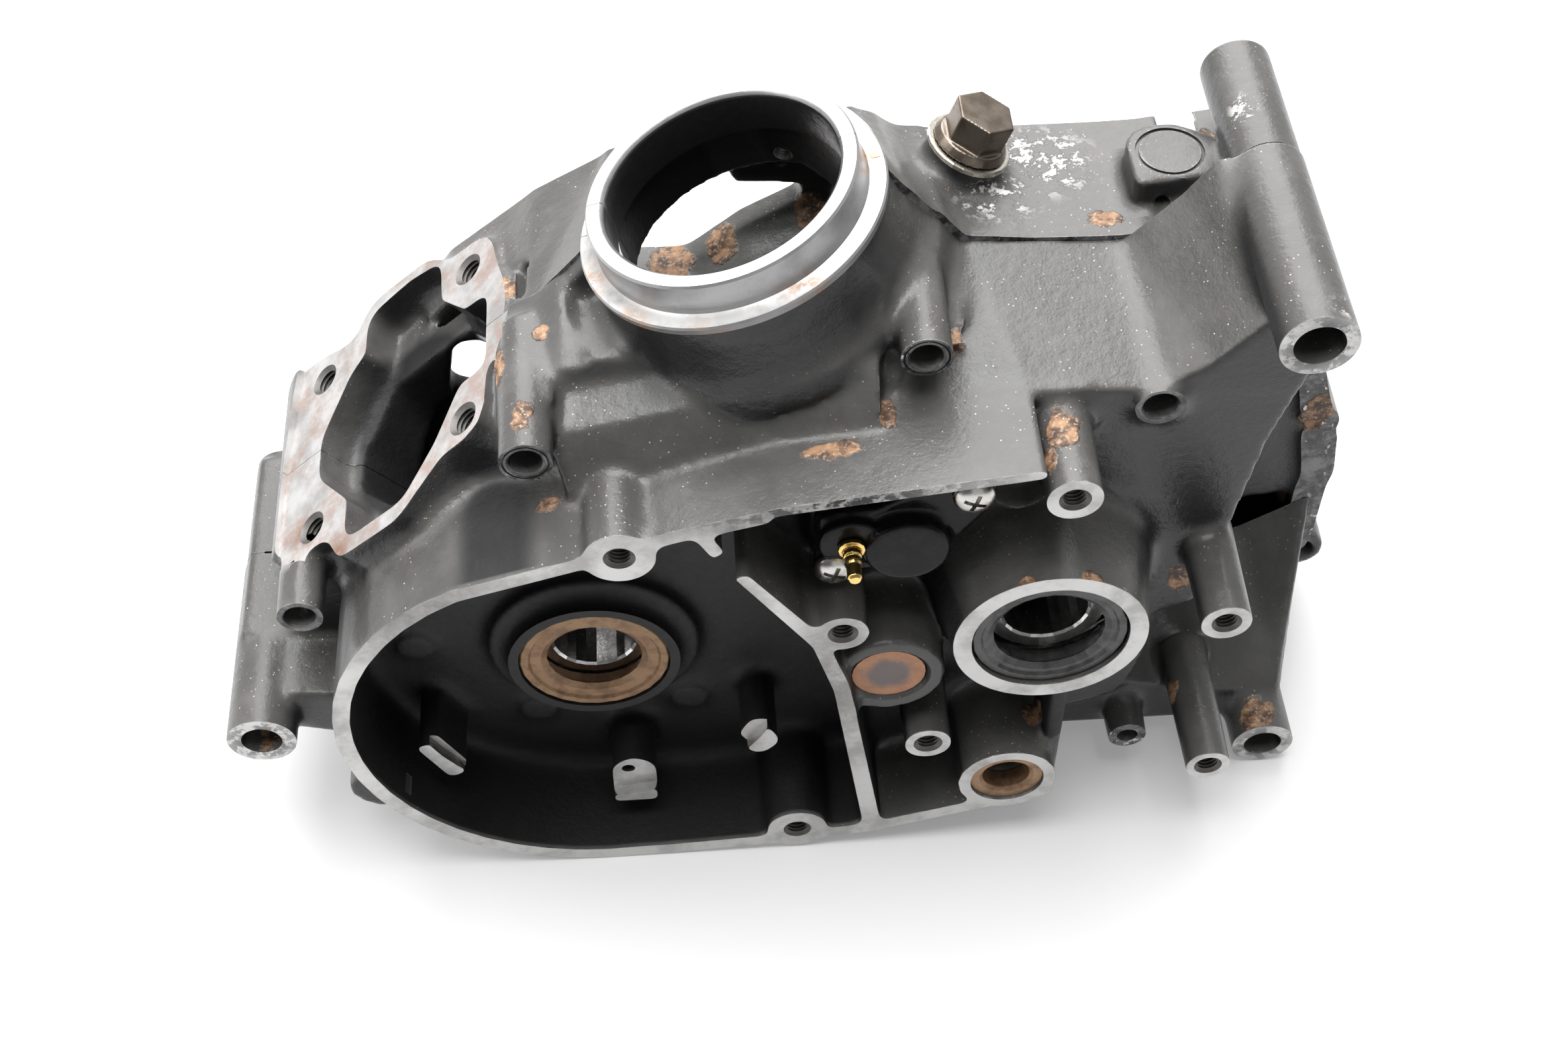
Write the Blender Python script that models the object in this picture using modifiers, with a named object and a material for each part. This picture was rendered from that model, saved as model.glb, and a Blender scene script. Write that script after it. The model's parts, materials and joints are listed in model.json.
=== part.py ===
"""Two-stroke engine crankcase: a left and a right half-casting with bearings, seals, switch and fasteners.

X runs from the cylinder end to the gearbox end, Y from the left (magneto) side to the right
(clutch) side, Z is up. Everything is laid out from the crankshaft axis, at X = 0 and Z = 0, with
Y = 0 on the machined rim of the magneto chamber. One empty then stands the whole case on its
lowest points, with the middle of its footprint at the world's origin.
"""
import math

import bmesh
import bpy
from mathutils import Matrix, Vector

# Overall planes along Y
SEAM_Y = 0.066
RIGHT_RIM_Y = 0.109
SEAM_GAP = 0.0003
FIT_GAP = 0.0003

# Walls
CAST_WALL = 0.0045
WEB_THICKNESS = 0.005

# Magneto chamber in the left half
MAGNETO_RIM_RADIUS = 0.0675
MAGNETO_DEPTH = 0.030
SKIRT_BACK_Y = 0.0335
STATOR_SEAT_RADIUS = 0.050
STATOR_SEAT_Y = 0.0125
STATOR_LUG_Y = 0.0095

# Crank chamber
CRANK_BARREL_RADIUS = 0.057
CRANK_CHAMBER_RADIUS = 0.050
CRANK_CHAMBER_NEAR = 0.042
CRANK_CHAMBER_FAR = 0.090

# Cylinder flange: its plane leans forward, square to the cylinder's axis
FLANGE_HEIGHT = 0.075
FLANGE_LEAN = math.radians(42.0)
STUD_SPACING_SLOPE = 0.058
STUD_SPACING_ACROSS = 0.052
STUD_CENTRE_SLOPE = 0.0025
STUD_HOLE_RADIUS = 0.0036
STUD_HOLE_DEPTH = 0.018
TRANSFER_DEPTH = 0.011

# Carburettor collar on top
COLLAR_X = 0.041
COLLAR_Z = 0.1203
COLLAR_LEAN = math.radians(16.6)
COLLAR_FLANGE_RADIUS = 0.038
COLLAR_FLANGE_THICKNESS = 0.0038
COLLAR_SPIGOT_RADIUS = 0.033
COLLAR_SPIGOT_HEIGHT = 0.0105
COLLAR_BORE_RADIUS = 0.029
COLLAR_NECK_DROP = 0.030

# Gearbox
WEB_FACE_Y = 0.025
GEARBOX_CAVITY_NEAR = 0.0302
GEARBOX_CAVITY_FAR = 0.086
CLUTCH_FLOOR_Y = 0.091

# Mounting tubes, left to right through both halves
MOUNT_RADIUS = 0.009
MOUNT_STEP = 0.0004
MOUNT_BORE_RADIUS = 0.0056
UPPER_MOUNT_BORE_RADIUS = 0.0062
MOUNT_FAR_Y = 0.1045
FRONT_MOUNT = (-0.0895, -0.013)
FRONT_MOUNT_NEAR_Y = 0.0095
UPPER_MOUNT = (0.1695, 0.122)
UPPER_MOUNT_NEAR_Y = 0.008
LOWER_MOUNT = (0.190, -0.0585)
LOWER_MOUNT_NEAR_Y = 0.020

# Shaft positions, X and Z
CRANK = (0.0, 0.0)
MAINSHAFT = (0.0768, 0.0098)
OUTPUT = (0.117, 0.027)
SHIFT_SHAFT = (0.111, -0.0385)
SHIFT_DRUM = (0.080, 0.0568)
KICK_SHAFT = (0.158, -0.020)

# Ball bearings
BEARING_OUTER_RADIUS = 0.0235
BEARING_BORE_RADIUS = 0.011
BEARING_WIDTH = 0.014
BALL_COUNT = 7
BALL_RADIUS = 0.0037
BALL_CLEARANCE = 0.0005
CRANK_LEFT_BEARING_Y = 0.0273
CRANK_RIGHT_BEARING_Y = 0.0907
OUTPUT_BEARING_Y = 0.0090
MAINSHAFT_BEARING_Y = 0.0870

# Shaft seals, bushes and plug
SEAL_RADIUS = 0.020
CRANK_SEAL_BORE = 0.0127
CRANK_SEAL_Y = 0.0203
SEAL_WIDTH = 0.0064
OUTPUT_SEAL_BORE = 0.0143
OUTPUT_SEAL_Y = 0.0012
SHIFT_SEAL_RADIUS = 0.0100
SHIFT_SEAL_BORE = 0.0066
SHIFT_SEAL_Y = 0.0010
SHIFT_SEAL_WIDTH = 0.0060
PLUG_RADIUS = 0.0100
PLUG_Y = 0.0042
PLUG_THICKNESS = 0.0030
BUSH_RADIUS = 0.0130
BUSH_BORE = 0.0100
BUSH_WIDTH = 0.0120

# Bosses round the shafts
CRANK_BOSS_RADIUS = 0.0285
CRANK_LIP_RADIUS = 0.0230
OUTPUT_BOSS_RADIUS = 0.025
OUTPUT_BOSS_ROOT = 0.031
SHIFT_BOSS_RADIUS = 0.0135
PLUG_BOSS_RADIUS = 0.0148
PLUG_BOSS_Y = 0.003

# Screws and dowels
COVER_HOLE_RADIUS = 0.0029
COVER_HOLE_DEPTH = 0.016
CASE_HOLE_RADIUS = 0.0037
SCREW_RADIUS = 0.003
SCREW_HEAD_RADIUS = 0.0055
SCREW_HEAD_HEIGHT = 0.0045
CASE_SCREW_LENGTH = 0.040
CASE_SCREWS = ((-0.0665, -0.0465), (0.040, -0.0520), (0.066, 0.0580), (0.126, -0.0500), (0.158, 0.0985))
DOWELS = ((-0.0420, -0.0385), (0.1545, 0.1060))
DOWEL_RADIUS = 0.0030
DOWEL_BORE = 0.0017
DOWEL_LENGTH = 0.014

# Plug bolt on the right half
PLUG_BOLT_X = 0.098
PLUG_BOLT_Y = 0.0915
PLUG_BOLT_BASE_Z = 0.1025
PLUG_BOLT_LEAN = math.radians(20.0)
PLUG_BOSS_TOP = 0.0088
PLUG_BOLT_BOSS_RADIUS = 0.0100
PLUG_WASHER_RADIUS = 0.0110
PLUG_WASHER_THICKNESS = 0.0016
PLUG_BOLT_FLANGE_RADIUS = 0.0099
PLUG_BOLT_HEX = 0.0141
PLUG_BOLT_HEAD = 0.0085
PLUG_BOLT_SHANK_RADIUS = 0.0050
PLUG_BOLT_SHANK_LENGTH = 0.012

# Neutral switch
SWITCH_BACK_Y = 0.0165
SWITCH_BASE_THICKNESS = 0.0055
SWITCH_DOME_HEIGHT = 0.0045
SWITCH_DOME = (0.0800, 0.0568)
SWITCH_DOME_RADIUS = 0.0113
SWITCH_EAR = (0.0662, 0.0588)
SWITCH_EAR_RADIUS = 0.0083
SWITCH_SCREWS = ((0.0956, 0.0730), (0.0623, 0.0480))

# Blind pocket under the top wall of the left half
POCKET = (0.1083, 0.0665)
POCKET_RADIUS = 0.0070

# Identification pad on the left half, left bare
PAD_LEFT_X = -0.0005
PAD_RIGHT_X = 0.0735

COLOURS = {
    "casting": (0.030, 0.030, 0.032),
    "steel": (0.55, 0.55, 0.56),
    "dark_steel": (0.16, 0.155, 0.15),
    "seal_brown": (0.36, 0.22, 0.11),
    "seal_black": (0.05, 0.05, 0.055),
    "copper": (0.55, 0.27, 0.17),
    "bronze": (0.33, 0.22, 0.14),
    "black_plastic": (0.02, 0.02, 0.022),
    "brass": (0.72, 0.50, 0.18),
    "zinc": (0.50, 0.49, 0.46),
}


def clear_scene():
    for obj in list(bpy.data.objects):
        bpy.data.objects.remove(obj, do_unlink=True)


def new_collection(name):
    collection = bpy.data.collections.new(name)
    bpy.context.scene.collection.children.link(collection)
    return collection


def material(name, metallic, roughness):
    mat = bpy.data.materials.new(name)
    mat.use_nodes = True
    shader = mat.node_tree.nodes["Principled BSDF"]
    shader.inputs["Base Color"].default_value = (*COLOURS[name], 1.0)
    shader.inputs["Metallic"].default_value = metallic
    shader.inputs["Roughness"].default_value = roughness
    return mat


def adopt(obj, name, home):
    """Name an object, move it to one collection and hang it on the case's own empty."""
    obj.name = name
    obj.data.name = name
    for collection in list(obj.users_collection):
        collection.objects.unlink(obj)
    home.objects.link(obj)
    obj.parent = CASE
    if home is not PARTS:
        obj.hide_render = True
        obj.display_type = "WIRE"
    return obj


def rod(name, home, centre, near, far, radius, far_radius=None, sides=16):
    """A cylinder or cone along Y."""
    bpy.ops.mesh.primitive_cone_add(
        vertices=sides,
        radius1=radius,
        radius2=radius if far_radius is None else far_radius,
        depth=far - near,
        location=(centre[0], (near + far) / 2, centre[1]),
        rotation=(-math.pi / 2, 0, 0),
    )
    return adopt(bpy.context.object, name, home)


def block(name, home, low, high):
    """A box between two corners."""
    size = [b - a for a, b in zip(low, high)]
    middle = [(a + b) / 2 for a, b in zip(low, high)]
    bpy.ops.mesh.primitive_cube_add(size=1.0, location=middle)
    obj = bpy.context.object
    obj.data.transform(Matrix.Diagonal((*size, 1.0)))
    return adopt(obj, name, home)


def rounded(corners, steps=2):
    """A closed outline from (x, z, radius) corners, with each corner turned into an arc."""
    points = []
    count = len(corners)
    for index, (x, z, radius) in enumerate(corners):
        here = Vector((x, z))
        before = Vector(corners[index - 1][:2]) - here
        after = Vector(corners[(index + 1) % count][:2]) - here
        if radius <= 0:
            points.append((x, z))
            continue
        half = before.angle(after) / 2
        reach = radius / math.tan(half)
        reach = min(reach, 0.48 * before.length, 0.48 * after.length)
        radius = reach * math.tan(half)
        middle = here + (before.normalized() + after.normalized()).normalized() * radius / math.sin(half)
        start = here + before.normalized() * reach - middle
        end = here + after.normalized() * reach - middle
        sweep = start.angle_signed(end)
        for step in range(steps + 1):
            turned = start.copy()
            turned.rotate(Matrix.Rotation(-sweep * step / steps, 2))
            points.append(tuple(middle + turned))
    return points


def arc(centre, radius, start_deg, end_deg, steps):
    """Points along a round stretch of an outline."""
    points = []
    for step in range(steps + 1):
        angle = math.radians(start_deg + (end_deg - start_deg) * step / steps)
        points.append((centre[0] + radius * math.cos(angle), centre[1] + radius * math.sin(angle)))
    return points


def sharp(points):
    return [(x, z, 0.0) for x, z in points]


def filled(name, home, outline, half_depth, location, rotation):
    """A flat outline as a filled, extruded curve, turned into a mesh."""
    curve = bpy.data.curves.new(name, "CURVE")
    curve.dimensions = "2D"
    curve.fill_mode = "BOTH"
    curve.extrude = half_depth
    spline = curve.splines.new("POLY")
    spline.points.add(len(outline) - 1)
    for point, (x, y) in zip(spline.points, outline):
        point.co = (x, y, 0.0, 1.0)
    spline.use_cyclic_u = True
    guide = bpy.data.objects.new(name, curve)
    guide.location = location
    guide.rotation_euler = rotation
    bpy.context.scene.collection.objects.link(guide)
    bpy.context.view_layer.update()
    mesh = bpy.data.meshes.new_from_object(guide.evaluated_get(bpy.context.evaluated_depsgraph_get()))
    weld = bmesh.new()
    weld.from_mesh(mesh)
    bmesh.ops.remove_doubles(weld, verts=weld.verts, dist=0.000001)
    bmesh.ops.recalc_face_normals(weld, faces=weld.faces)
    weld.to_mesh(mesh)
    weld.free()
    solid = bpy.data.objects.new(name, mesh)
    solid.matrix_world = guide.matrix_world
    bpy.context.scene.collection.objects.link(solid)
    bpy.data.objects.remove(guide, do_unlink=True)
    return adopt(solid, name, home)


def prism(name, home, outline, near, far):
    """An outline in the XZ plane carried along Y."""
    return filled(name, home, outline, (far - near) / 2, (0, (near + far) / 2, 0), (math.pi / 2, 0, 0))


def flange_prism(name, home, outline, low, high):
    """An outline in the cylinder flange's plane, as (along slope, Y), carried along the cylinder axis."""
    middle = (low + high) / 2
    place = (-math.sin(FLANGE_LEAN) * middle, 0, math.cos(FLANGE_LEAN) * middle)
    return filled(name, home, outline, (high - low) / 2, place, (0, -FLANGE_LEAN, 0))


def loft(name, home, near_outline, near, far_outline, far):
    """A solid between two outlines of as many points, one at each end along Y."""
    build = bmesh.new()
    front = [build.verts.new((x, near, z)) for x, z in near_outline]
    back = [build.verts.new((x, far, z)) for x, z in far_outline]
    build.faces.new(front)
    build.faces.new(list(reversed(back)))
    for index in range(len(front)):
        following = (index + 1) % len(front)
        build.faces.new((front[following], front[index], back[index], back[following]))
    bmesh.ops.triangulate(build, faces=build.faces)
    bmesh.ops.recalc_face_normals(build, faces=build.faces)
    mesh = bpy.data.meshes.new(name)
    build.to_mesh(mesh)
    build.free()
    solid = bpy.data.objects.new(name, mesh)
    bpy.context.scene.collection.objects.link(solid)
    return adopt(solid, name, home)


def turned(name, home, centre, near, profile, steps=20):
    """A ring turned about an axis along Y, from a closed (radius, depth) profile."""
    mesh = bpy.data.meshes.new(name)
    points = [(radius, 0.0, depth) for radius, depth in profile]
    edges = [(index, (index + 1) % len(points)) for index in range(len(points))]
    mesh.from_pydata(points, edges, [])
    obj = bpy.data.objects.new(name, mesh)
    obj.location = (centre[0], near, centre[1])
    obj.rotation_euler = (-math.pi / 2, 0, 0)
    bpy.context.scene.collection.objects.link(obj)
    screw = obj.modifiers.new("turn", "SCREW")
    screw.axis = "Z"
    screw.angle = 2 * math.pi
    screw.steps = steps
    screw.render_steps = steps
    screw.use_merge_vertices = True
    screw.merge_threshold = 0.00001
    return adopt(obj, name, home)


def boolean(obj, operation, collection):
    """Note a Boolean; all are added at the end, so that no other step has to work them out again."""
    BOOLEANS.append((obj, operation, collection))


def add_booleans():
    for obj, operation, collection in BOOLEANS:
        modifier = obj.modifiers.new(operation.lower(), "BOOLEAN")
        modifier.operation = operation
        modifier.operand_type = "COLLECTION"
        modifier.collection = collection
        modifier.solver = "EXACT"


def finish(obj, mat):
    obj.data.materials.clear()
    obj.data.materials.append(mat)
    obj.data.shade_smooth()
    obj.data.set_sharp_from_angle(angle=math.radians(35))
    obj.hide_render = False
    obj.display_type = "TEXTURED"


def collar_place(distance):
    """A point on the collar's leaning axis, measured up from its flange's under side."""
    return (
        COLLAR_X - math.sin(COLLAR_LEAN) * distance,
        SEAM_Y,
        COLLAR_Z + math.cos(COLLAR_LEAN) * distance,
    )


def collar_ring(name, home, low, high, low_radius, high_radius, sides=32):
    bpy.ops.mesh.primitive_cone_add(
        vertices=sides,
        radius1=low_radius,
        radius2=high_radius,
        depth=high - low,
        location=collar_place((low + high) / 2),
        rotation=(0, -COLLAR_LEAN, 0),
    )
    return adopt(bpy.context.object, name, home)


FLANGE_OUTLINE = (
    (0.0395, 0.1010, 0.007), (0.0430, 0.0840, 0.003), (0.0455, 0.0760, 0.004), (0.0435, 0.0550, 0.003),
    (0.0395, 0.0510, 0.002), (0.0390, 0.0330, 0.008), (0.0240, 0.0325, 0.006), (0.0080, 0.0220, 0.008),
    (-0.0140, 0.0225, 0.005), (-0.0190, 0.0310, 0.002), (-0.0220, 0.0325, 0.002), (-0.0370, 0.0330, 0.007),
    (-0.0372, 0.0620, 0.020), (-0.0330, 0.1005, 0.006), (-0.0150, 0.0985, 0.003), (-0.0080, 0.1082, 0.008),
    (0.0150, 0.1082, 0.009), (0.0240, 0.1005, 0.004),
)
MOUTH_OUTLINE = (
    (0.0205, 0.1030, 0.004), (0.0215, 0.0880, 0.002), (0.0310, 0.0778, 0.0), (0.0393, 0.0778, 0.0015),
    (0.0393, 0.0523, 0.002), (0.0300, 0.0525, 0.003), (0.0210, 0.0385, 0.003), (0.0096, 0.0272, 0.006),
    (-0.0128, 0.0274, 0.004), (-0.0126, 0.0410, 0.001), (-0.0255, 0.0560, 0.008), (-0.0255, 0.0700, 0.008),
    (-0.0150, 0.0860, 0.004), (-0.0093, 0.0900, 0.001), (-0.0093, 0.1035, 0.005), (0.0080, 0.1050, 0.006),
)
THROAT_OUTLINE = (
    (0.0190, 0.0865, 0.003), (0.0290, 0.0755, 0.003), (0.0370, 0.0745, 0.003), (0.0370, 0.0550, 0.003),
    (0.0285, 0.0545, 0.003), (0.0180, 0.0435, 0.004), (-0.0090, 0.0435, 0.004), (-0.0225, 0.0570, 0.008),
    (-0.0225, 0.0690, 0.008), (-0.0110, 0.0855, 0.004),
)


def shared_stock(home):
    """Forms that run through both halves: cylinder neck, front wedge, collar and mounting tubes."""
    flange_prism("cylinder_neck", home, rounded(FLANGE_OUTLINE), 0.046, FLANGE_HEIGHT)
    wedge = (
        (-0.0500, 0.0480, 0), (-0.0795, 0.0330, 0.004), (-0.0975, -0.0080, 0.004),
        (-0.0975, -0.0175, 0.004), (-0.0890, -0.0215, 0), (-0.0450, -0.0330, 0),
    )
    prism("front_wedge", home, rounded(wedge), 0.0385, 0.1015)
    collar_ring("collar_neck", home, -COLLAR_NECK_DROP, -0.0005, 0.0430, 0.0370)
    collar_ring("collar_flange", home, -0.0010, COLLAR_FLANGE_THICKNESS, COLLAR_FLANGE_RADIUS, COLLAR_FLANGE_RADIUS)
    collar_ring(
        "collar_spigot", home, 0.0, COLLAR_SPIGOT_HEIGHT, COLLAR_SPIGOT_RADIUS, COLLAR_SPIGOT_RADIUS
    )


def shared_cavities(home):
    """Hollows that run through both halves: crank chamber, cylinder mouth and carburettor chamber."""
    rod("crank_chamber", home, CRANK, CRANK_CHAMBER_NEAR, CRANK_CHAMBER_FAR, CRANK_CHAMBER_RADIUS, sides=36)
    flange_prism(
        "mouth", home, rounded(MOUTH_OUTLINE), FLANGE_HEIGHT - TRANSFER_DEPTH, FLANGE_HEIGHT + 0.004
    )
    flange_prism("throat", home, rounded(THROAT_OUTLINE), 0.018, FLANGE_HEIGHT - TRANSFER_DEPTH + 0.002)
    collar_ring(
        "collar_bore", home, -0.024, COLLAR_SPIGOT_HEIGHT + 0.002, COLLAR_BORE_RADIUS, COLLAR_BORE_RADIUS
    )
    chamber = (
        (0.0090, 0.0660, 0.003), (0.0300, 0.0645, 0.006), (0.0460, 0.0760, 0.006), (0.0680, 0.0850, 0.005),
        (0.0710, 0.1030, 0.006), (0.0600, 0.1080, 0.004), (0.0120, 0.0950, 0.006),
    )
    prism("carburettor_chamber", home, rounded(chamber), 0.0405, RIGHT_RIM_Y - 0.0075)


def stud_points():
    for along in (-STUD_SPACING_SLOPE / 2, STUD_SPACING_SLOPE / 2):
        for across in (-STUD_SPACING_ACROSS / 2, STUD_SPACING_ACROSS / 2):
            yield STUD_CENTRE_SLOPE + along, SEAM_Y + across


def stud_holes(home):
    low = FLANGE_HEIGHT - STUD_HOLE_DEPTH
    for index, (along, across) in enumerate(stud_points()):
        middle = low + (STUD_HOLE_DEPTH + 0.004) / 2
        bpy.ops.mesh.primitive_cylinder_add(
            vertices=12,
            radius=STUD_HOLE_RADIUS,
            depth=STUD_HOLE_DEPTH + 0.004,
            location=(
                math.cos(FLANGE_LEAN) * along - math.sin(FLANGE_LEAN) * middle,
                across,
                math.sin(FLANGE_LEAN) * along + math.cos(FLANGE_LEAN) * middle,
            ),
            rotation=(0, -FLANGE_LEAN, 0),
        )
        adopt(bpy.context.object, "stud_hole_%d" % index, home)


# Left half
COVER_BOSSES = (
    (0.1175, 0.0820, 0.0069), (0.1616, 0.0297, 0.0066), (0.1669, -0.0370, 0.0062),
    (0.0640, 0.0340, 0.0066), (0.0880, -0.0180, 0.0063),
)
CASE_BOSSES = (
    (-0.0105, 0.0860, 0.0165, 0.0066), (-0.0725, 0.0304, 0.0170, 0.0060), (0.0845, 0.1040, 0.0270, 0.0064),
    (0.1412, 0.0868, 0.0235, 0.0058),
)
TOE_LUG = (
    (-0.0500, -0.0220, 0), (-0.0745, -0.0435, 0.007), (-0.0630, -0.0550, 0.007), (-0.0400, -0.0400, 0),
)
LEFT_RIM_TOP = [(0.1090, 0.0930, 0.001), (0.0490, 0.0847, 0), (0.0220, 0.0777, 0), (0.0020, 0.0702, 0.004)]
LEFT_RIM_BOTTOM = [(0.0160, -0.0670, 0), (0.0490, -0.0650, 0), (0.0740, -0.0614, 0)]
LEFT_RIM_END = 0.1240, -0.0468


RIB_LINE = ((0.0388, 0.0595), (0.0583, 0.0303), (0.0643, 0.0095), (0.0736, -0.0540))


def rim_outline(right_end):
    """The magneto chamber's outer outline, cut off at right_end."""
    corners = [(right_end, LEFT_RIM_TOP[0][1], 0)]
    corners += LEFT_RIM_TOP
    corners += sharp(arc(CRANK, MAGNETO_RIM_RADIUS, 118, 277, 20))
    corners += LEFT_RIM_BOTTOM
    corners += [(right_end, LEFT_RIM_END[1], 0)]
    return rounded(corners, 2)


def magneto_hollow():
    """The flywheel side of the chamber, ending on the middle line of its dividing rib."""
    corners = [(0.0330, 0.0765, 0), (0.0220, 0.0732, 0), (0.0020, 0.0657, 0.004)]
    corners += sharp(arc(CRANK, MAGNETO_RIM_RADIUS - CAST_WALL, 118, 277, 20))
    corners += [(0.0160, -0.0625, 0), (0.0490, -0.0605, 0), (0.0750, -0.0568, 0)]
    corners += [(x, z, 0) for x, z in reversed(RIB_LINE)]
    return rounded(corners, 2)


def sprocket_hollow():
    """The shallower side of the chamber, round the output shaft, open to the right."""
    corners = [(0.1900, 0.0885), (0.1090, 0.0885), (0.0490, 0.0802), (0.0320, 0.0757)]
    corners += [(x - 0.0010, z) for x, z in RIB_LINE]
    corners += [(0.0737, -0.0568), (0.1240, -0.0423), (0.1900, -0.0423)]
    return corners


def left_stock(home):
    shared_stock(home)
    prism("magneto_shell", home, rim_outline(0.1240), -0.004, SKIRT_BACK_Y)
    rod("crank_barrel", home, CRANK, MAGNETO_DEPTH + 0.002, 0.070, CRANK_BARREL_RADIUS, sides=36)
    deck_near = ((-0.0170, 0.0400), (-0.0170, 0.0880), (-0.0090, 0.0910), (-0.0022, 0.0914), (0.0060, 0.0918),
                 (0.0800, 0.0922), (0.0800, 0.0400))
    deck_far = ((-0.0170, 0.0400), (-0.0168, 0.0882), (-0.0092, 0.0923), (-0.0020, 0.0998), (0.0050, 0.1090),
                (0.0800, 0.1090), (0.0800, 0.0400))
    loft("top_deck", home, deck_near, SKIRT_BACK_Y - 0.0018, deck_far, 0.070)
    gearbox_near = (
        (0.0700, 0.0840), (0.1085, 0.0927), (0.1410, 0.0915), (0.1520, 0.0985), (0.1630, 0.1115), (0.1700, 0.1150),
        (0.1775, 0.1130), (0.1766, 0.0934), (0.1707, 0.0712), (0.1668, 0.0411), (0.1655, 0.0280), (0.1620, 0.0060),
        (0.1520, 0.0010), (0.1505, -0.0200), (0.1460, -0.0360), (0.1260, -0.0430), (0.0700, -0.0500),
        (0.0300, -0.0500),
    )
    gearbox_far = (
        (0.0700, 0.1060), (0.0990, 0.1052), (0.1360, 0.1030), (0.1480, 0.1165), (0.1560, 0.1285), (0.1660, 0.1300),
        (0.1785, 0.1230), (0.1775, 0.0934), (0.1720, 0.0712), (0.1675, 0.0411), (0.1650, 0.0280), (0.1600, 0.0090),
        (0.1510, 0.0050), (0.1490, -0.0200), (0.1450, -0.0360), (0.1260, -0.0600), (0.0700, -0.0600),
        (0.0200, -0.0600),
    )
    loft("gearbox_shell", home, gearbox_near, WEB_FACE_Y, gearbox_far, 0.070)
    fairing_near = ((0.0700, 0.0900), (0.0740, 0.0960), (0.0800, 0.0970), (0.0880, 0.0975), (0.0960, 0.0975))
    fairing_far = ((0.0700, 0.0900), (0.0780, 0.1310), (0.0838, 0.1240), (0.0915, 0.1150), (0.0990, 0.1040))
    loft("collar_fairing", home, fairing_near, 0.0370, fairing_far, 0.0700)
    ledge_near = ((0.0800, -0.0395), (0.1500, -0.0395), (0.1760, -0.0460), (0.1950, -0.0510), (0.1965, -0.0550),
                  (0.1975, -0.0600), (0.0600, -0.0600))
    ledge_far = ((0.0800, -0.0180), (0.1500, -0.0240), (0.1820, -0.0120), (0.2045, 0.0030), (0.2058, -0.0200),
                 (0.1990, -0.0600), (0.0600, -0.0600))
    loft("chain_ledge", home, ledge_near, 0.0315, ledge_far, 0.0670)
    pad = bmesh.new()
    ends = []
    for x, rise, push in ((PAD_LEFT_X, 0.0, 0.0), (PAD_RIGHT_X, 0.0165, 0.0020)):
        lean = -0.0055 if rise == 0.0 else 0.0005
        section = (
            (x, 0.0160 + push, 0.0640 + rise), (x, 0.0160 + push, 0.0698 + rise),
            (x + lean, 0.0270 + push, 0.0840 + rise), (x + lean, 0.0500, 0.0870 + rise), (x, 0.0500, 0.0640 + rise),
        )
        ends.append([pad.verts.new(point) for point in section])
    pad.faces.new(ends[0])
    pad.faces.new(list(reversed(ends[1])))
    for index in range(5):
        following = (index + 1) % 5
        pad.faces.new((ends[0][following], ends[0][index], ends[1][index], ends[1][following]))
    bmesh.ops.triangulate(pad, faces=pad.faces)
    bmesh.ops.recalc_face_normals(pad, faces=pad.faces)
    mesh = bpy.data.meshes.new("number_pad")
    pad.to_mesh(mesh)
    pad.free()
    solid = bpy.data.objects.new("number_pad", mesh)
    bpy.context.scene.collection.objects.link(solid)
    adopt(solid, "number_pad", home)
    rod("front_tube", home, FRONT_MOUNT, FRONT_MOUNT_NEAR_Y, 0.070, MOUNT_RADIUS + MOUNT_STEP)
    rod("upper_tube", home, UPPER_MOUNT, UPPER_MOUNT_NEAR_Y, 0.070, MOUNT_RADIUS + MOUNT_STEP)
    rod("lower_tube", home, LOWER_MOUNT, LOWER_MOUNT_NEAR_Y, 0.070, MOUNT_RADIUS)
    for index, (x, z, near, radius) in enumerate(CASE_BOSSES[:3]):
        rod("case_boss_%d" % index, home, (x, z), near, 0.060, radius, radius + 0.0007, sides=16)
    rod("sump_boss", home, (0.1495, -0.0510), 0.0205, 0.040, 0.0055, 0.0065, sides=20)
    prism("toe_lug", home, rounded(TOE_LUG, 3), 0.0120, 0.0700)
    web = ((-0.0820, -0.0050, 0), (-0.0820, -0.0215, 0), (-0.0590, -0.0290, 0), (-0.0590, -0.0080, 0))
    prism("front_gusset", home, rounded(web), 0.0185, 0.0400)


def left_cavities(home):
    shared_cavities(home)
    prism("magneto_hollow", home, magneto_hollow(), -0.010, MAGNETO_DEPTH)
    prism("sprocket_hollow", home, sprocket_hollow(), -0.011, WEB_FACE_Y + 0.0002)
    cavity = (
        (0.0640, 0.0300, 0.003), (0.0760, 0.0600, 0.004), (0.0840, 0.0850, 0.004), (0.1480, 0.0850, 0.004),
        (0.1640, 0.0880, 0.005), (0.1660, 0.0700, 0.004), (0.1600, 0.0380, 0.004), (0.1555, 0.0130, 0.004),
        (0.1450, 0.0060, 0.004), (0.1440, -0.0180, 0.004), (0.1390, -0.0340, 0.005), (0.0560, -0.0400, 0.006),
        (0.0610, -0.0080, 0.003),
    )
    prism("gearbox_hollow", home, rounded(cavity, 2), GEARBOX_CAVITY_NEAR, 0.080)
    sump = ((0.1370, -0.0540, 0.002), (0.1370, -0.0420, 0.002), (0.1760, -0.0420, 0.003), (0.1760, -0.0540, 0.002))
    prism("sump_hollow", home, rounded(sump, 2), 0.0450, 0.080)


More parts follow.
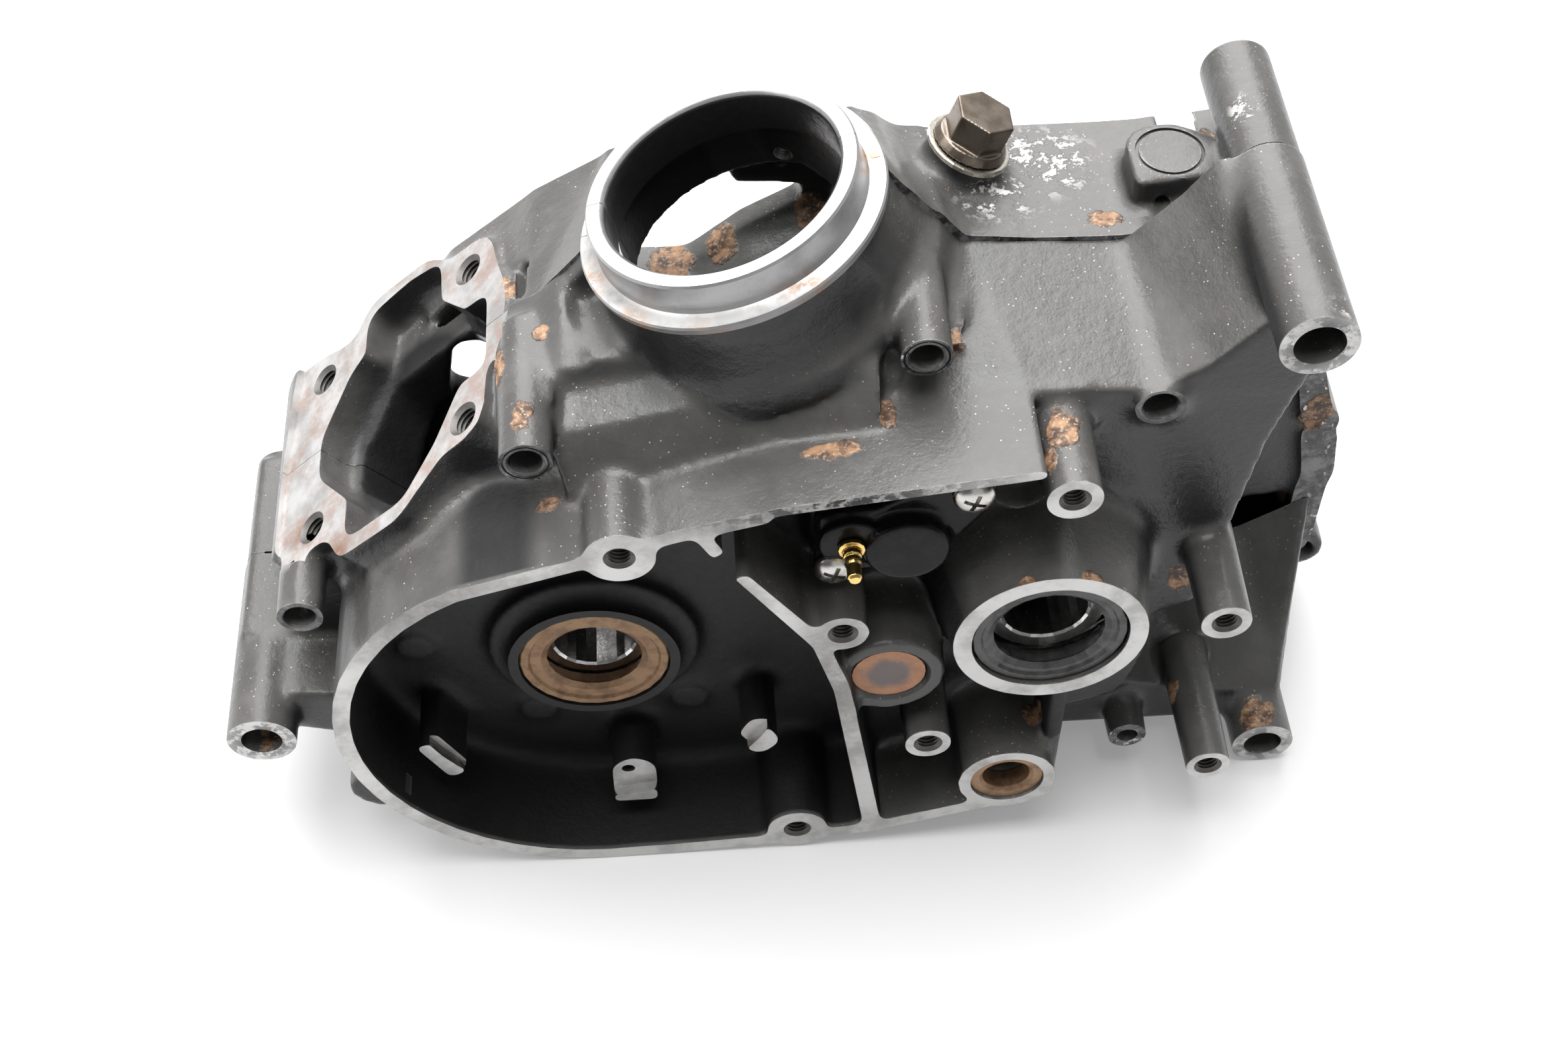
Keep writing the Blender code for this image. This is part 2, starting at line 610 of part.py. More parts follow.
SWITCH_PLATE = (
    (0.1012, 0.0795, 0.005), (0.1012, 0.0685, 0.003), (0.0935, 0.0565, 0.0), (0.0880, 0.0475, 0.008),
    (0.0780, 0.0440, 0.008), (0.0690, 0.0460, 0.002), (0.0680, 0.0425, 0.004), (0.0575, 0.0425, 0.004),
    (0.0572, 0.0680, 0.006), (0.0720, 0.0685, 0.004), (0.0890, 0.0795, 0.005),
)
SWITCH_SEAT = (
    (0.1020, 0.0860, 0.0), (0.1020, 0.0685, 0.003), (0.0942, 0.0560, 0.0), (0.0880, 0.0460, 0.008),
    (0.0570, 0.0415, 0.004), (0.0560, 0.0830, 0.0),
)


def left_bosses(home):
    rod("crank_boss", home, CRANK, 0.0245, 0.0385, CRANK_BOSS_RADIUS, sides=32)
    rod("crank_lip", home, CRANK, 0.0198, 0.0300, CRANK_LIP_RADIUS, sides=32)
    rod("output_boss", home, OUTPUT, -0.002, 0.0035, OUTPUT_BOSS_RADIUS, sides=32)
    rod("output_root", home, OUTPUT, 0.0030, 0.0330, OUTPUT_BOSS_RADIUS + 0.0004, OUTPUT_BOSS_ROOT, sides=32)
    rod("shift_boss", home, SHIFT_SHAFT, -0.002, 0.0330, SHIFT_BOSS_RADIUS, SHIFT_BOSS_RADIUS + 0.001)
    rod("plug_boss", home, MAINSHAFT, PLUG_BOSS_Y, 0.0330, PLUG_BOSS_RADIUS, PLUG_BOSS_RADIUS + 0.001)
    for index, (x, z, radius) in enumerate(COVER_BOSSES):
        far = 0.0330 if index != 2 else 0.0420
        rod("cover_boss_%d" % index, home, (x, z), -0.002, far, radius, radius + 0.0008, sides=16)
    rod("top_lug", home, (0.0102, 0.0690), -0.002, 0.0200, 0.0088, sides=24)
    rod("bottom_lug", home, (0.0530, -0.0580), -0.002, 0.0320, 0.0085, sides=24)
    rib = (
        (0.0372, 0.0590, 0), (0.0404, 0.0600, 0), (0.0600, 0.0315, 0.003), (0.0664, 0.0100, 0.004),
        (0.0770, -0.0600, 0), (0.0722, -0.0615, 0), (0.0622, 0.0090, 0.004), (0.0565, 0.0290, 0.003),
    )
    prism("chamber_rib", home, rounded(rib, 2), -0.002, 0.0320)
    prong = ((0.0260, 0.0790, 0), (0.0300, 0.0795, 0), (0.0352, 0.0690, 0), (0.0322, 0.0672, 0))
    prism("wire_guide", home, rounded(prong), -0.002, 0.0200)
    tab = ((-0.0590, 0.0300, 0), (-0.0500, 0.0420, 0), (-0.0470, 0.0370, 0), (-0.0520, 0.0300, 0))
    prism("wire_tab", home, rounded(tab), 0.0040, 0.0320)
    end_wall = ((0.1205, -0.0480, 0), (0.1258, -0.0470, 0), (0.1262, 0.0050, 0), (0.1215, 0.0050, 0))
    prism("end_wall", home, rounded(end_wall), 0.0060, 0.0330)
    stator_lugs = (
        ((-0.0500, -0.0200, 0.001), (-0.0440, -0.0190, 0.001), (-0.0370, -0.0330, 0.001), (-0.0420, -0.0360, 0.001)),
        ((0.0020, -0.0530, 0), (0.0020, -0.0400, 0.005), (0.0080, -0.0345, 0.005), (0.0143, -0.0400, 0.005),
         (0.0143, -0.0530, 0)),
        ((0.0375, -0.0270, 0.002), (0.0410, -0.0200, 0.003), (0.0460, -0.0200, 0.003), (0.0490, -0.0270, 0.003),
         (0.0430, -0.0340, 0.003)),
    )
    for index, corners in enumerate(stator_lugs):
        prism("stator_lug_%d" % index, home, rounded(corners), STATOR_LUG_Y, 0.0320)
    for index, centre in enumerate(((-0.0480, -0.0010), (-0.0176, -0.0330), (0.0247, -0.0310))):
        rod("floor_boss_%d" % index, home, centre, 0.0280, 0.0320, 0.0055, sides=16)
    x, z, near, radius = CASE_BOSSES[3]
    rod("case_boss_3", home, (x, z), near, 0.0600, radius, radius + 0.0007, sides=16)
    rod("pocket_ring", home, POCKET, SWITCH_BACK_Y + FIT_GAP, 0.0330, POCKET_RADIUS + 0.0017, sides=20)
    prism("switch_seat", home, rounded(SWITCH_SEAT), SWITCH_BACK_Y + FIT_GAP, 0.0330)


def seat(name, home, centre, near, far, radius, sides=28):
    """A bore that a turned piece sits in, with its fitting gap."""
    rod(name, home, centre, near, far, radius + FIT_GAP, sides=sides)


def left_holes(home):
    block("seam_side", home, (-0.20, SEAM_Y - SEAM_GAP / 2, -0.20), (0.30, 0.20, 0.25))
    block("rim_side", home, (-0.20, -0.05, -0.20), (0.30, 0.0, 0.25))
    shoulder = CRANK_LEFT_BEARING_Y - FIT_GAP
    seat("crank_seal_seat", home, CRANK, 0.0100, shoulder, SEAL_RADIUS)
    seat("crank_bearing_seat", home, CRANK, shoulder, CRANK_CHAMBER_NEAR + 0.002, BEARING_OUTER_RADIUS)
    shoulder = OUTPUT_BEARING_Y - FIT_GAP
    seat("output_seal_seat", home, OUTPUT, -0.0050, shoulder, SEAL_RADIUS)
    seat("output_bearing_seat", home, OUTPUT, shoulder, 0.0380, BEARING_OUTER_RADIUS)
    seat("shift_seal_seat", home, SHIFT_SHAFT, -0.0050, SHIFT_SEAL_Y + SHIFT_SEAL_WIDTH + FIT_GAP, SHIFT_SEAL_RADIUS)
    rod("shift_bore", home, SHIFT_SHAFT, 0.0060, 0.0380, SHIFT_SEAL_BORE, sides=20)
    seat("plug_seat", home, MAINSHAFT, -0.0050, PLUG_Y + PLUG_THICKNESS + FIT_GAP, PLUG_RADIUS, sides=24)
    seat("mainshaft_bush_seat", home, MAINSHAFT, 0.0200, 0.0380, BUSH_RADIUS, sides=24)
    rod("drum_bore", home, SHIFT_DRUM, 0.0260, 0.0380, 0.0080, sides=20)
    for index, (x, z, radius) in enumerate(COVER_BOSSES):
        rod("cover_hole_%d" % index, home, (x, z), -0.005, COVER_HOLE_DEPTH, COVER_HOLE_RADIUS, sides=10)
    for index, centre in enumerate(((0.0102, 0.0690), (0.0530, -0.0580))):
        rod("rim_hole_%d" % index, home, centre, -0.005, 0.0150, COVER_HOLE_RADIUS, sides=10)
    for index, (x, z, near, radius) in enumerate(CASE_BOSSES):
        rod("case_hole_%d" % index, home, (x, z), near - 0.005, 0.080, CASE_HOLE_RADIUS, sides=10)
    rod("sump_hole", home, (0.1495, -0.0510), 0.0100, 0.0400, 0.0033, sides=16)
    rod("stator_recess", home, CRANK, -0.0050, STATOR_SEAT_Y, STATOR_SEAT_RADIUS, sides=36)
    rod("stator_screw_hole", home, (0.0066, -0.0412), 0.0050, 0.0240, 0.0023, sides=12)
    rod("pocket_bore", home, POCKET, 0.0100, 0.0250, POCKET_RADIUS, sides=20)
    for index, centre in enumerate(SWITCH_SCREWS):
        rod("switch_hole_%d" % index, home, centre, 0.0100, 0.0330, SCREW_RADIUS + FIT_GAP, sides=12)
    tubes = (
        (FRONT_MOUNT, MOUNT_BORE_RADIUS), (UPPER_MOUNT, UPPER_MOUNT_BORE_RADIUS), (LOWER_MOUNT, MOUNT_BORE_RADIUS),
    )
    for index, (centre, radius) in enumerate(tubes):
        rod("tube_bore_%d" % index, home, centre, -0.01, 0.15, radius, sides=16)
    fastener_holes(home)
    stud_holes(home)


def fastener_holes(home):
    """Holes for the case screws and the hollow dowels, alike in both halves."""
    for index, centre in enumerate(CASE_SCREWS):
        tip = CLUTCH_FLOOR_Y - CASE_SCREW_LENGTH - 0.001
        rod("screw_hole_%d" % index, home, centre, tip, RIGHT_RIM_Y + 0.004, SCREW_RADIUS + FIT_GAP, sides=12)
        rod(
            "screw_seat_%d" % index, home, centre, CLUTCH_FLOOR_Y, RIGHT_RIM_Y + 0.004,
            SCREW_HEAD_RADIUS + 0.0015, sides=12,
        )
    for index, centre in enumerate(DOWELS):
        half = DOWEL_LENGTH / 2 + FIT_GAP
        seat("dowel_seat_%d" % index, home, centre, SEAM_Y - half, SEAM_Y + half, DOWEL_RADIUS, sides=16)


# Right half
def right_outline_near():
    corners = sharp(arc(CRANK, 0.0630, 140, 262, 14))
    corners += [
        (0.0300, -0.0640, 0), (0.1200, -0.0630, 0), (0.1800, -0.0640, 0), (0.1990, -0.0560, 0), (0.2040, -0.0420, 0),
        (0.2075, -0.0180, 0), (0.2075, 0.0020, 0), (0.2085, 0.0080, 0), (0.2065, 0.0230, 0), (0.1990, 0.0470, 0),
        (0.1920, 0.0720, 0), (0.1810, 0.1050, 0), (0.1700, 0.1150, 0), (0.1500, 0.1070, 0), (0.1370, 0.1032, 0),
        (0.1150, 0.1037, 0), (0.0990, 0.1055, 0), (0.0915, 0.1150, 0), (0.0838, 0.1240, 0), (0.0780, 0.1310, 0),
        (0.0410, 0.1180, 0), (0.0050, 0.1092, 0), (-0.0095, 0.0922, 0), (-0.0330, 0.0700, 0),
    ]
    return [(x, z) for x, z, radius in corners]


def right_outline_far(inset=0.0):
    radius = 0.0630 - inset
    corners = sharp(arc(CRANK, radius, 140, 262, 14))
    shape = (
        (0.0300, -0.0640), (0.1200, -0.0630), (0.1800, -0.0640), (0.1990, -0.0560), (0.2040, -0.0420),
        (0.2075, -0.0180), (0.2075, 0.0020), (0.2085, 0.0080), (0.2065, 0.0230), (0.1990, 0.0470),
        (0.1920, 0.0720), (0.1810, 0.1000), (0.1700, 0.1050), (0.1500, 0.1030), (0.1370, 0.1025),
        (0.1150, 0.1025), (0.0920, 0.1025), (0.0840, 0.1030), (0.0790, 0.1070), (0.0730, 0.1090),
        (0.0400, 0.1060), (0.0120, 0.0995), (-0.0090, 0.0873), (-0.0330, 0.0675),
    )
    return [(x, z) for x, z, r in corners] + list(shape)


def right_stock(home):
    shared_stock(home)
    loft("right_shell", home, right_outline_near(), 0.0620, right_outline_far(), RIGHT_RIM_Y + 0.004)
    for name, centre in (("front_tube", FRONT_MOUNT), ("upper_tube", UPPER_MOUNT), ("lower_tube", LOWER_MOUNT)):
        rod(name, home, centre, 0.0620, MOUNT_FAR_Y, MOUNT_RADIUS)
    lug = (
        (0.1405, 0.0735, 0.002), (0.1405, 0.0945, 0.009), (0.1530, 0.0965, 0.008), (0.1640, 0.0900, 0.002),
        (0.1640, 0.0765, 0.001),
    )
    filled("lug_block", home, rounded(lug, 4), 0.0080, (0, 0, 0.1050), (0, 0, 0))
    axis = Vector((math.sin(PLUG_BOLT_LEAN), 0, math.cos(PLUG_BOLT_LEAN)))
    base = Vector((PLUG_BOLT_X, PLUG_BOLT_Y, PLUG_BOLT_BASE_Z))
    bpy.ops.mesh.primitive_cone_add(
        vertices=24, radius1=PLUG_BOLT_BOSS_RADIUS + 0.0008, radius2=PLUG_BOLT_BOSS_RADIUS,
        depth=PLUG_BOSS_TOP + 0.009, location=base + axis * (PLUG_BOSS_TOP - 0.009) / 2,
        rotation=(0, PLUG_BOLT_LEAN, 0),
    )
    adopt(bpy.context.object, "bolt_boss", home)
    for index, (x, z, near) in enumerate(((0.1990, 0.0290, 0.0635), (0.2065, -0.0300, 0.0680))):
        rod("cover_lobe_%d" % index, home, (x, z), near, RIGHT_RIM_Y + 0.004, 0.0068, 0.0076, sides=20)
    prism("toe_lug", home, rounded(TOE_LUG, 3), 0.0620, 0.0960)


def right_cavities(home):
    shared_cavities(home)
    cavity = (
        (0.0640, 0.0300, 0.003), (0.0760, 0.0600, 0.004), (0.0840, 0.0880, 0.004), (0.1480, 0.0920, 0.004),
        (0.1600, 0.0900, 0.004), (0.1760, 0.0860, 0.004), (0.1930, 0.0430, 0.006), (0.2000, 0.0080, 0.004),
        (0.1950, -0.0380, 0.006), (0.1790, -0.0440, 0.004), (0.1750, -0.0560, 0.004), (0.1420, -0.0560, 0.004),
        (0.1370, -0.0400, 0.004), (0.0560, -0.0420, 0.006), (0.0610, -0.0080, 0.003),
    )
    prism("gearbox_hollow", home, rounded(cavity, 2), 0.0600, GEARBOX_CAVITY_FAR)
    clutch = (
        (0.0120, 0.0590, 0.004), (0.0300, 0.0580, 0.004), (0.0720, 0.0780, 0.006), (0.0800, 0.0970, 0.005),
        (0.1480, 0.0970, 0.004), (0.1760, 0.0960, 0.006), (0.1935, 0.0450, 0.010), (0.2010, 0.0090, 0.006),
        (0.1975, -0.0380, 0.008), (0.1790, -0.0440, 0.005), (0.1740, -0.0580, 0.004), (0.0250, -0.0590, 0.006),
    )
    outline = rounded(clutch) + arc(CRANK, 0.0580, 262, 142, 12)
    outline += [(-0.0330, 0.0610), (-0.0200, 0.0620)]
    prism("clutch_hollow", home, outline, CLUTCH_FLOOR_Y + 0.005, RIGHT_RIM_Y + 0.010)
    window = (
        (0.0095, 0.0660, 0.002), (0.0300, 0.0655, 0.004), (0.0450, 0.0780, 0.003), (0.0600, 0.0865, 0.002),
        (0.0610, 0.0920, 0.001), (0.0430, 0.0935, 0.001), (0.0410, 0.0990, 0.001), (0.0095, 0.0900, 0.004),
    )
    prism("carburettor_window", home, rounded(window, 2), RIGHT_RIM_Y - 0.010, RIGHT_RIM_Y + 0.010)


def right_bosses(home):
    rod("crank_boss", home, CRANK, CRANK_CHAMBER_FAR + 0.002, CRANK_RIGHT_BEARING_Y + 0.0130, CRANK_BOSS_RADIUS + 0.001,
        CRANK_BOSS_RADIUS, sides=32)
    rod("mainshaft_boss", home, MAINSHAFT, 0.0835, MAINSHAFT_BEARING_Y + 0.0155, CRANK_BOSS_RADIUS, sides=32)
    rod("output_boss", home, OUTPUT, 0.0830, 0.1000, 0.0170, sides=28)
    rod("drum_boss", home, SHIFT_DRUM, 0.0840, 0.0985, 0.0110, sides=24)
    rod("shift_boss", home, SHIFT_SHAFT, 0.0840, 0.0990, 0.0095, sides=24)
    rod("kick_boss", home, KICK_SHAFT, 0.0830, 0.1010, 0.0140, sides=28)
    for index, centre in enumerate(CASE_SCREWS):
        rod("screw_boss_%d" % index, home, centre, 0.0655, CLUTCH_FLOOR_Y + 0.0052, 0.0068, sides=16)
    for index, (x, z) in enumerate(RIGHT_COVER_HOLES):
        rod("rim_lug_%d" % index, home, (x, z), 0.0930, RIGHT_RIM_Y + 0.004, 0.0066, sides=18)
    rib = ((0.0510, 0.0300, 0), (0.0540, 0.0320, 0), (0.1080, -0.0200, 0), (0.1050, -0.0230, 0))
    prism("web_rib_a", home, rounded(rib), 0.0890, 0.0985)
    rib = ((0.1300, 0.0200, 0), (0.1325, 0.0230, 0), (0.1600, 0.0000, 0), (0.1575, -0.0030, 0))
    prism("web_rib_b", home, rounded(rib), 0.0890, 0.0985)


RIGHT_COVER_HOLES = (
    (-0.0560, 0.0180), (-0.0440, -0.0400), (0.0300, -0.0590), (0.1000, -0.0590), (0.1560, -0.0590), (0.1000, 0.0985),
    (0.1700, 0.0985),
)


def right_holes(home):
    block("seam_side", home, (-0.20, 0.0, -0.20), (0.30, SEAM_Y + SEAM_GAP / 2, 0.25))
    block("rim_side", home, (-0.20, RIGHT_RIM_Y, -0.20), (0.30, 0.15, 0.25))
    shoulder = CRANK_RIGHT_BEARING_Y + BEARING_WIDTH + FIT_GAP
    seat("crank_bearing_seat", home, CRANK, CRANK_CHAMBER_FAR - 0.002, shoulder, BEARING_OUTER_RADIUS)
    rod("crank_relief", home, CRANK, 0.1000, RIGHT_RIM_Y + 0.005, 0.0190, sides=28)
    shoulder = MAINSHAFT_BEARING_Y + BEARING_WIDTH + FIT_GAP
    seat("mainshaft_bearing_seat", home, MAINSHAFT, 0.0780, shoulder, BEARING_OUTER_RADIUS)
    rod("mainshaft_relief", home, MAINSHAFT, 0.0950, RIGHT_RIM_Y + 0.005, 0.0190, sides=28)
    seat("output_bush_seat", home, OUTPUT, 0.0780, 0.0860 + BUSH_WIDTH, BUSH_RADIUS, sides=24)
    rod("drum_bore", home, SHIFT_DRUM, 0.0780, 0.1100, 0.0070, sides=20)
    rod("shift_bore", home, SHIFT_SHAFT, 0.0780, 0.1100, 0.0061, sides=20)
    rod("kick_bore", home, KICK_SHAFT, 0.0780, 0.1100, 0.0090, sides=24)
    port = ((-0.0365, 0.0345, 0.004), (-0.0250, 0.0320, 0.004), (-0.0205, 0.0560, 0.004), (-0.0330, 0.0545, 0.004))
    prism("inlet_port", home, rounded(port), CRANK_CHAMBER_FAR - 0.010, 0.0990)
    for index, (x, z) in enumerate(RIGHT_COVER_HOLES):
        rod("cover_hole_%d" % index, home, (x, z), 0.0960, 0.1200, COVER_HOLE_RADIUS, sides=10)
    for index, centre in enumerate(((0.1990, 0.0290), (0.2065, -0.0300))):
        rod("lobe_hole_%d" % index, home, centre, 0.0550, 0.1200, 0.0034, sides=16)
    rod("collar_screw_hole", home, (0.0550, 0.1010), 0.0900, 0.1200, 0.0022, sides=12)
    for index, (x, z, near, radius) in enumerate(CASE_BOSSES):
        rod("case_hole_%d" % index, home, (x, z), 0.0600, 0.0820, COVER_HOLE_RADIUS, sides=10)
    tubes = (
        (FRONT_MOUNT, MOUNT_BORE_RADIUS), (UPPER_MOUNT, UPPER_MOUNT_BORE_RADIUS), (LOWER_MOUNT, MOUNT_BORE_RADIUS),
    )
    for index, (centre, radius) in enumerate(tubes):
        rod("tube_bore_%d" % index, home, centre, -0.01, 0.15, radius, sides=16)
    axis = Vector((math.sin(PLUG_BOLT_LEAN), 0, math.cos(PLUG_BOLT_LEAN)))
    base = Vector((PLUG_BOLT_X, PLUG_BOLT_Y, PLUG_BOLT_BASE_Z))
    bpy.ops.mesh.primitive_cylinder_add(
        vertices=20, radius=PLUG_BOLT_SHANK_RADIUS + FIT_GAP, depth=0.040,
        location=base + axis * (PLUG_BOSS_TOP - 0.016), rotation=(0, PLUG_BOLT_LEAN, 0),
    )
    adopt(bpy.context.object, "bolt_hole", home)
    lug_disc = (0.1505, 0.0848)
    bpy.ops.mesh.primitive_cylinder_add(
        vertices=24, radius=0.0087, depth=0.004, location=(*lug_disc, 0.1130 + 0.0015), rotation=(0, 0, 0)
    )
    adopt(bpy.context.object, "lug_recess", home)
    rod("lug_hole", home, (0.1480, 0.1050), 0.0600, 0.0850, 0.0022, sides=12)
    fastener_holes(home)
    stud_holes(home)


def build_half(name, mat, stages):
    """Join and cut one casting in stages: outer stock, hollows, inner bosses, machined holes."""
    label = name + " "
    base = block(name, PARTS, (0.060, SEAM_Y - 0.001, -0.048), (0.064, SEAM_Y + 0.001, -0.045))
    for operation, title, fill in stages:
        home = bpy.data.collections.new(label + title)
        CUTTERS.children.link(home)
        fill(home)
        boolean(base, operation, home)
    finish(base, mat)
    return base


def ball_bearing(name, centre, near, steel):
    """A deep-groove ball bearing as three pieces: outer race, inner race and the caged balls."""
    middle = BEARING_WIDTH / 2
    pitch = (BEARING_OUTER_RADIUS + BEARING_BORE_RADIUS) / 2
    groove = BALL_RADIUS + BALL_CLEARANCE
    land = groove * 0.55
    span = math.acos(land / groove)
    chamfer = 0.0006
    outer_arc = []
    inner_arc = []
    for step in range(4):
        angle = -span + 2 * span * step / 3
        outer_arc.append((pitch + groove * math.cos(angle), middle + groove * math.sin(angle)))
        inner_arc.append((pitch - groove * math.cos(angle), middle - groove * math.sin(angle)))
    outer_land = pitch + land
    inner_land = pitch - land
    outer_profile = [
        (BEARING_OUTER_RADIUS, BEARING_WIDTH - chamfer), (BEARING_OUTER_RADIUS, chamfer),
        (BEARING_OUTER_RADIUS - chamfer, 0.0), (outer_land, 0.0),
    ] + outer_arc + [(outer_land, BEARING_WIDTH), (BEARING_OUTER_RADIUS - chamfer, BEARING_WIDTH)]
    inner_profile = [
        (BEARING_BORE_RADIUS, chamfer), (BEARING_BORE_RADIUS, BEARING_WIDTH - chamfer),
        (BEARING_BORE_RADIUS + chamfer, BEARING_WIDTH), (inner_land, BEARING_WIDTH),
    ] + inner_arc + [(inner_land, 0.0), (BEARING_BORE_RADIUS + chamfer, 0.0)]
    outer = turned(name + "_outer_race", PARTS, centre, near, outer_profile, 24)
    inner = turned(name + "_inner_race", PARTS, centre, near, inner_profile, 24)
    home = bpy.data.collections.new(name + " balls")
    CUTTERS.children.link(home)
    ring_half = 0.0030
    ring_profile = [
        (pitch + 0.0011, middle + ring_half), (pitch + 0.0011, middle - ring_half),
        (pitch - 0.0011, middle - ring_half), (pitch - 0.0011, middle + ring_half),
    ]
    cage = turned(name + "_ball_cage", PARTS, centre, near, ring_profile)
    for index in range(BALL_COUNT):
        angle = 2 * math.pi * (index + 0.31) / BALL_COUNT
        bpy.ops.mesh.primitive_uv_sphere_add(
            segments=8, ring_count=6, radius=BALL_RADIUS,
            location=(
                centre[0] + pitch * math.cos(angle), near + middle, centre[1] + pitch * math.sin(angle),
            ),
            rotation=(0, -angle, 0),
        )
        adopt(bpy.context.object, "ball_%d" % index, home)
    boolean(cage, "UNION", home)
    for obj in (outer, inner, cage):
        finish(obj, steel)


def lip_seal(name, centre, near, width, radius, bore, mat):
    """A shaft seal: a steel-cased ring whose lip narrows to the shaft."""
    lip = bore + 0.0016
    profile = [
        (radius, width), (radius, 0.0004), (radius - 0.0004, 0.0), (radius - 0.0022, 0.0),
        (radius - 0.0028, 0.0007), (lip, 0.0007), (bore, 0.0018), (lip, 0.0034), (lip + 0.0006, width),
    ]
    finish(turned(name, PARTS, centre, near, profile, 24), mat)


def small_parts(mats):
    steel = mats["steel"]
    lip_seal("crank_seal", CRANK, CRANK_SEAL_Y, SEAL_WIDTH, SEAL_RADIUS, CRANK_SEAL_BORE, mats["seal_brown"])
    lip_seal(
        "output_shaft_seal", OUTPUT, OUTPUT_SEAL_Y, SEAL_WIDTH + 0.0008, SEAL_RADIUS, OUTPUT_SEAL_BORE,
        mats["seal_black"],
    )
    ring = [
        (SHIFT_SEAL_RADIUS, SHIFT_SEAL_WIDTH), (SHIFT_SEAL_RADIUS, 0.0), (SHIFT_SEAL_BORE + 0.0010, 0.0),
        (SHIFT_SEAL_BORE, 0.0010), (SHIFT_SEAL_BORE, SHIFT_SEAL_WIDTH),
    ]
    finish(turned("shift_shaft_seal", PARTS, SHIFT_SHAFT, SHIFT_SEAL_Y, ring, 24), mats["bronze"])
    plug = rod(
        "mainshaft_plug", PARTS, MAINSHAFT, PLUG_Y, PLUG_Y + PLUG_THICKNESS, PLUG_RADIUS - 0.0004, PLUG_RADIUS,
        sides=24,
    )
    finish(plug, mats["copper"])
    for name, centre, near in (
        ("mainshaft_bush", MAINSHAFT, 0.0200 + FIT_GAP), ("output_shaft_bush", OUTPUT, 0.0860 - FIT_GAP),
    ):
        ring = [
            (BUSH_RADIUS, BUSH_WIDTH), (BUSH_RADIUS, 0.0), (BUSH_BORE, 0.0), (BUSH_BORE, BUSH_WIDTH),
        ]
        finish(turned(name, PARTS, centre, near, ring, 24), mats["bronze"])
    for index, centre in enumerate(DOWELS):
        ring = [
            (DOWEL_RADIUS, DOWEL_LENGTH), (DOWEL_RADIUS, 0.0), (DOWEL_BORE, 0.0), (DOWEL_BORE, DOWEL_LENGTH),
        ]
        dowel = turned("dowel_%d" % (index + 1), PARTS, centre, SEAM_Y - DOWEL_LENGTH / 2, ring, 16)
        finish(dowel, steel)
    for index, centre in enumerate(CASE_SCREWS):
        case_screw("case_screw_%d" % (index + 1), centre, mats["zinc"])


def case_screw(name, centre, mat):
    """A flanged hexagon screw put in from the clutch side."""
    seat_y = CLUTCH_FLOOR_Y + FIT_GAP
    screw = rod(name, PARTS, centre, seat_y - CASE_SCREW_LENGTH, seat_y + 0.001, SCREW_RADIUS, sides=16)
    home = bpy.data.collections.new(name + " head")
    CUTTERS.children.link(home)
    rod("flange", home, centre, seat_y, seat_y + 0.0012, SCREW_HEAD_RADIUS, SCREW_HEAD_RADIUS - 0.0004, sides=16)
    rod("hexagon", home, centre, seat_y + 0.0008, seat_y + SCREW_HEAD_HEIGHT, SCREW_HEAD_RADIUS - 0.0010, sides=6)
    boolean(screw, "UNION", home)
    finish(screw, mat)


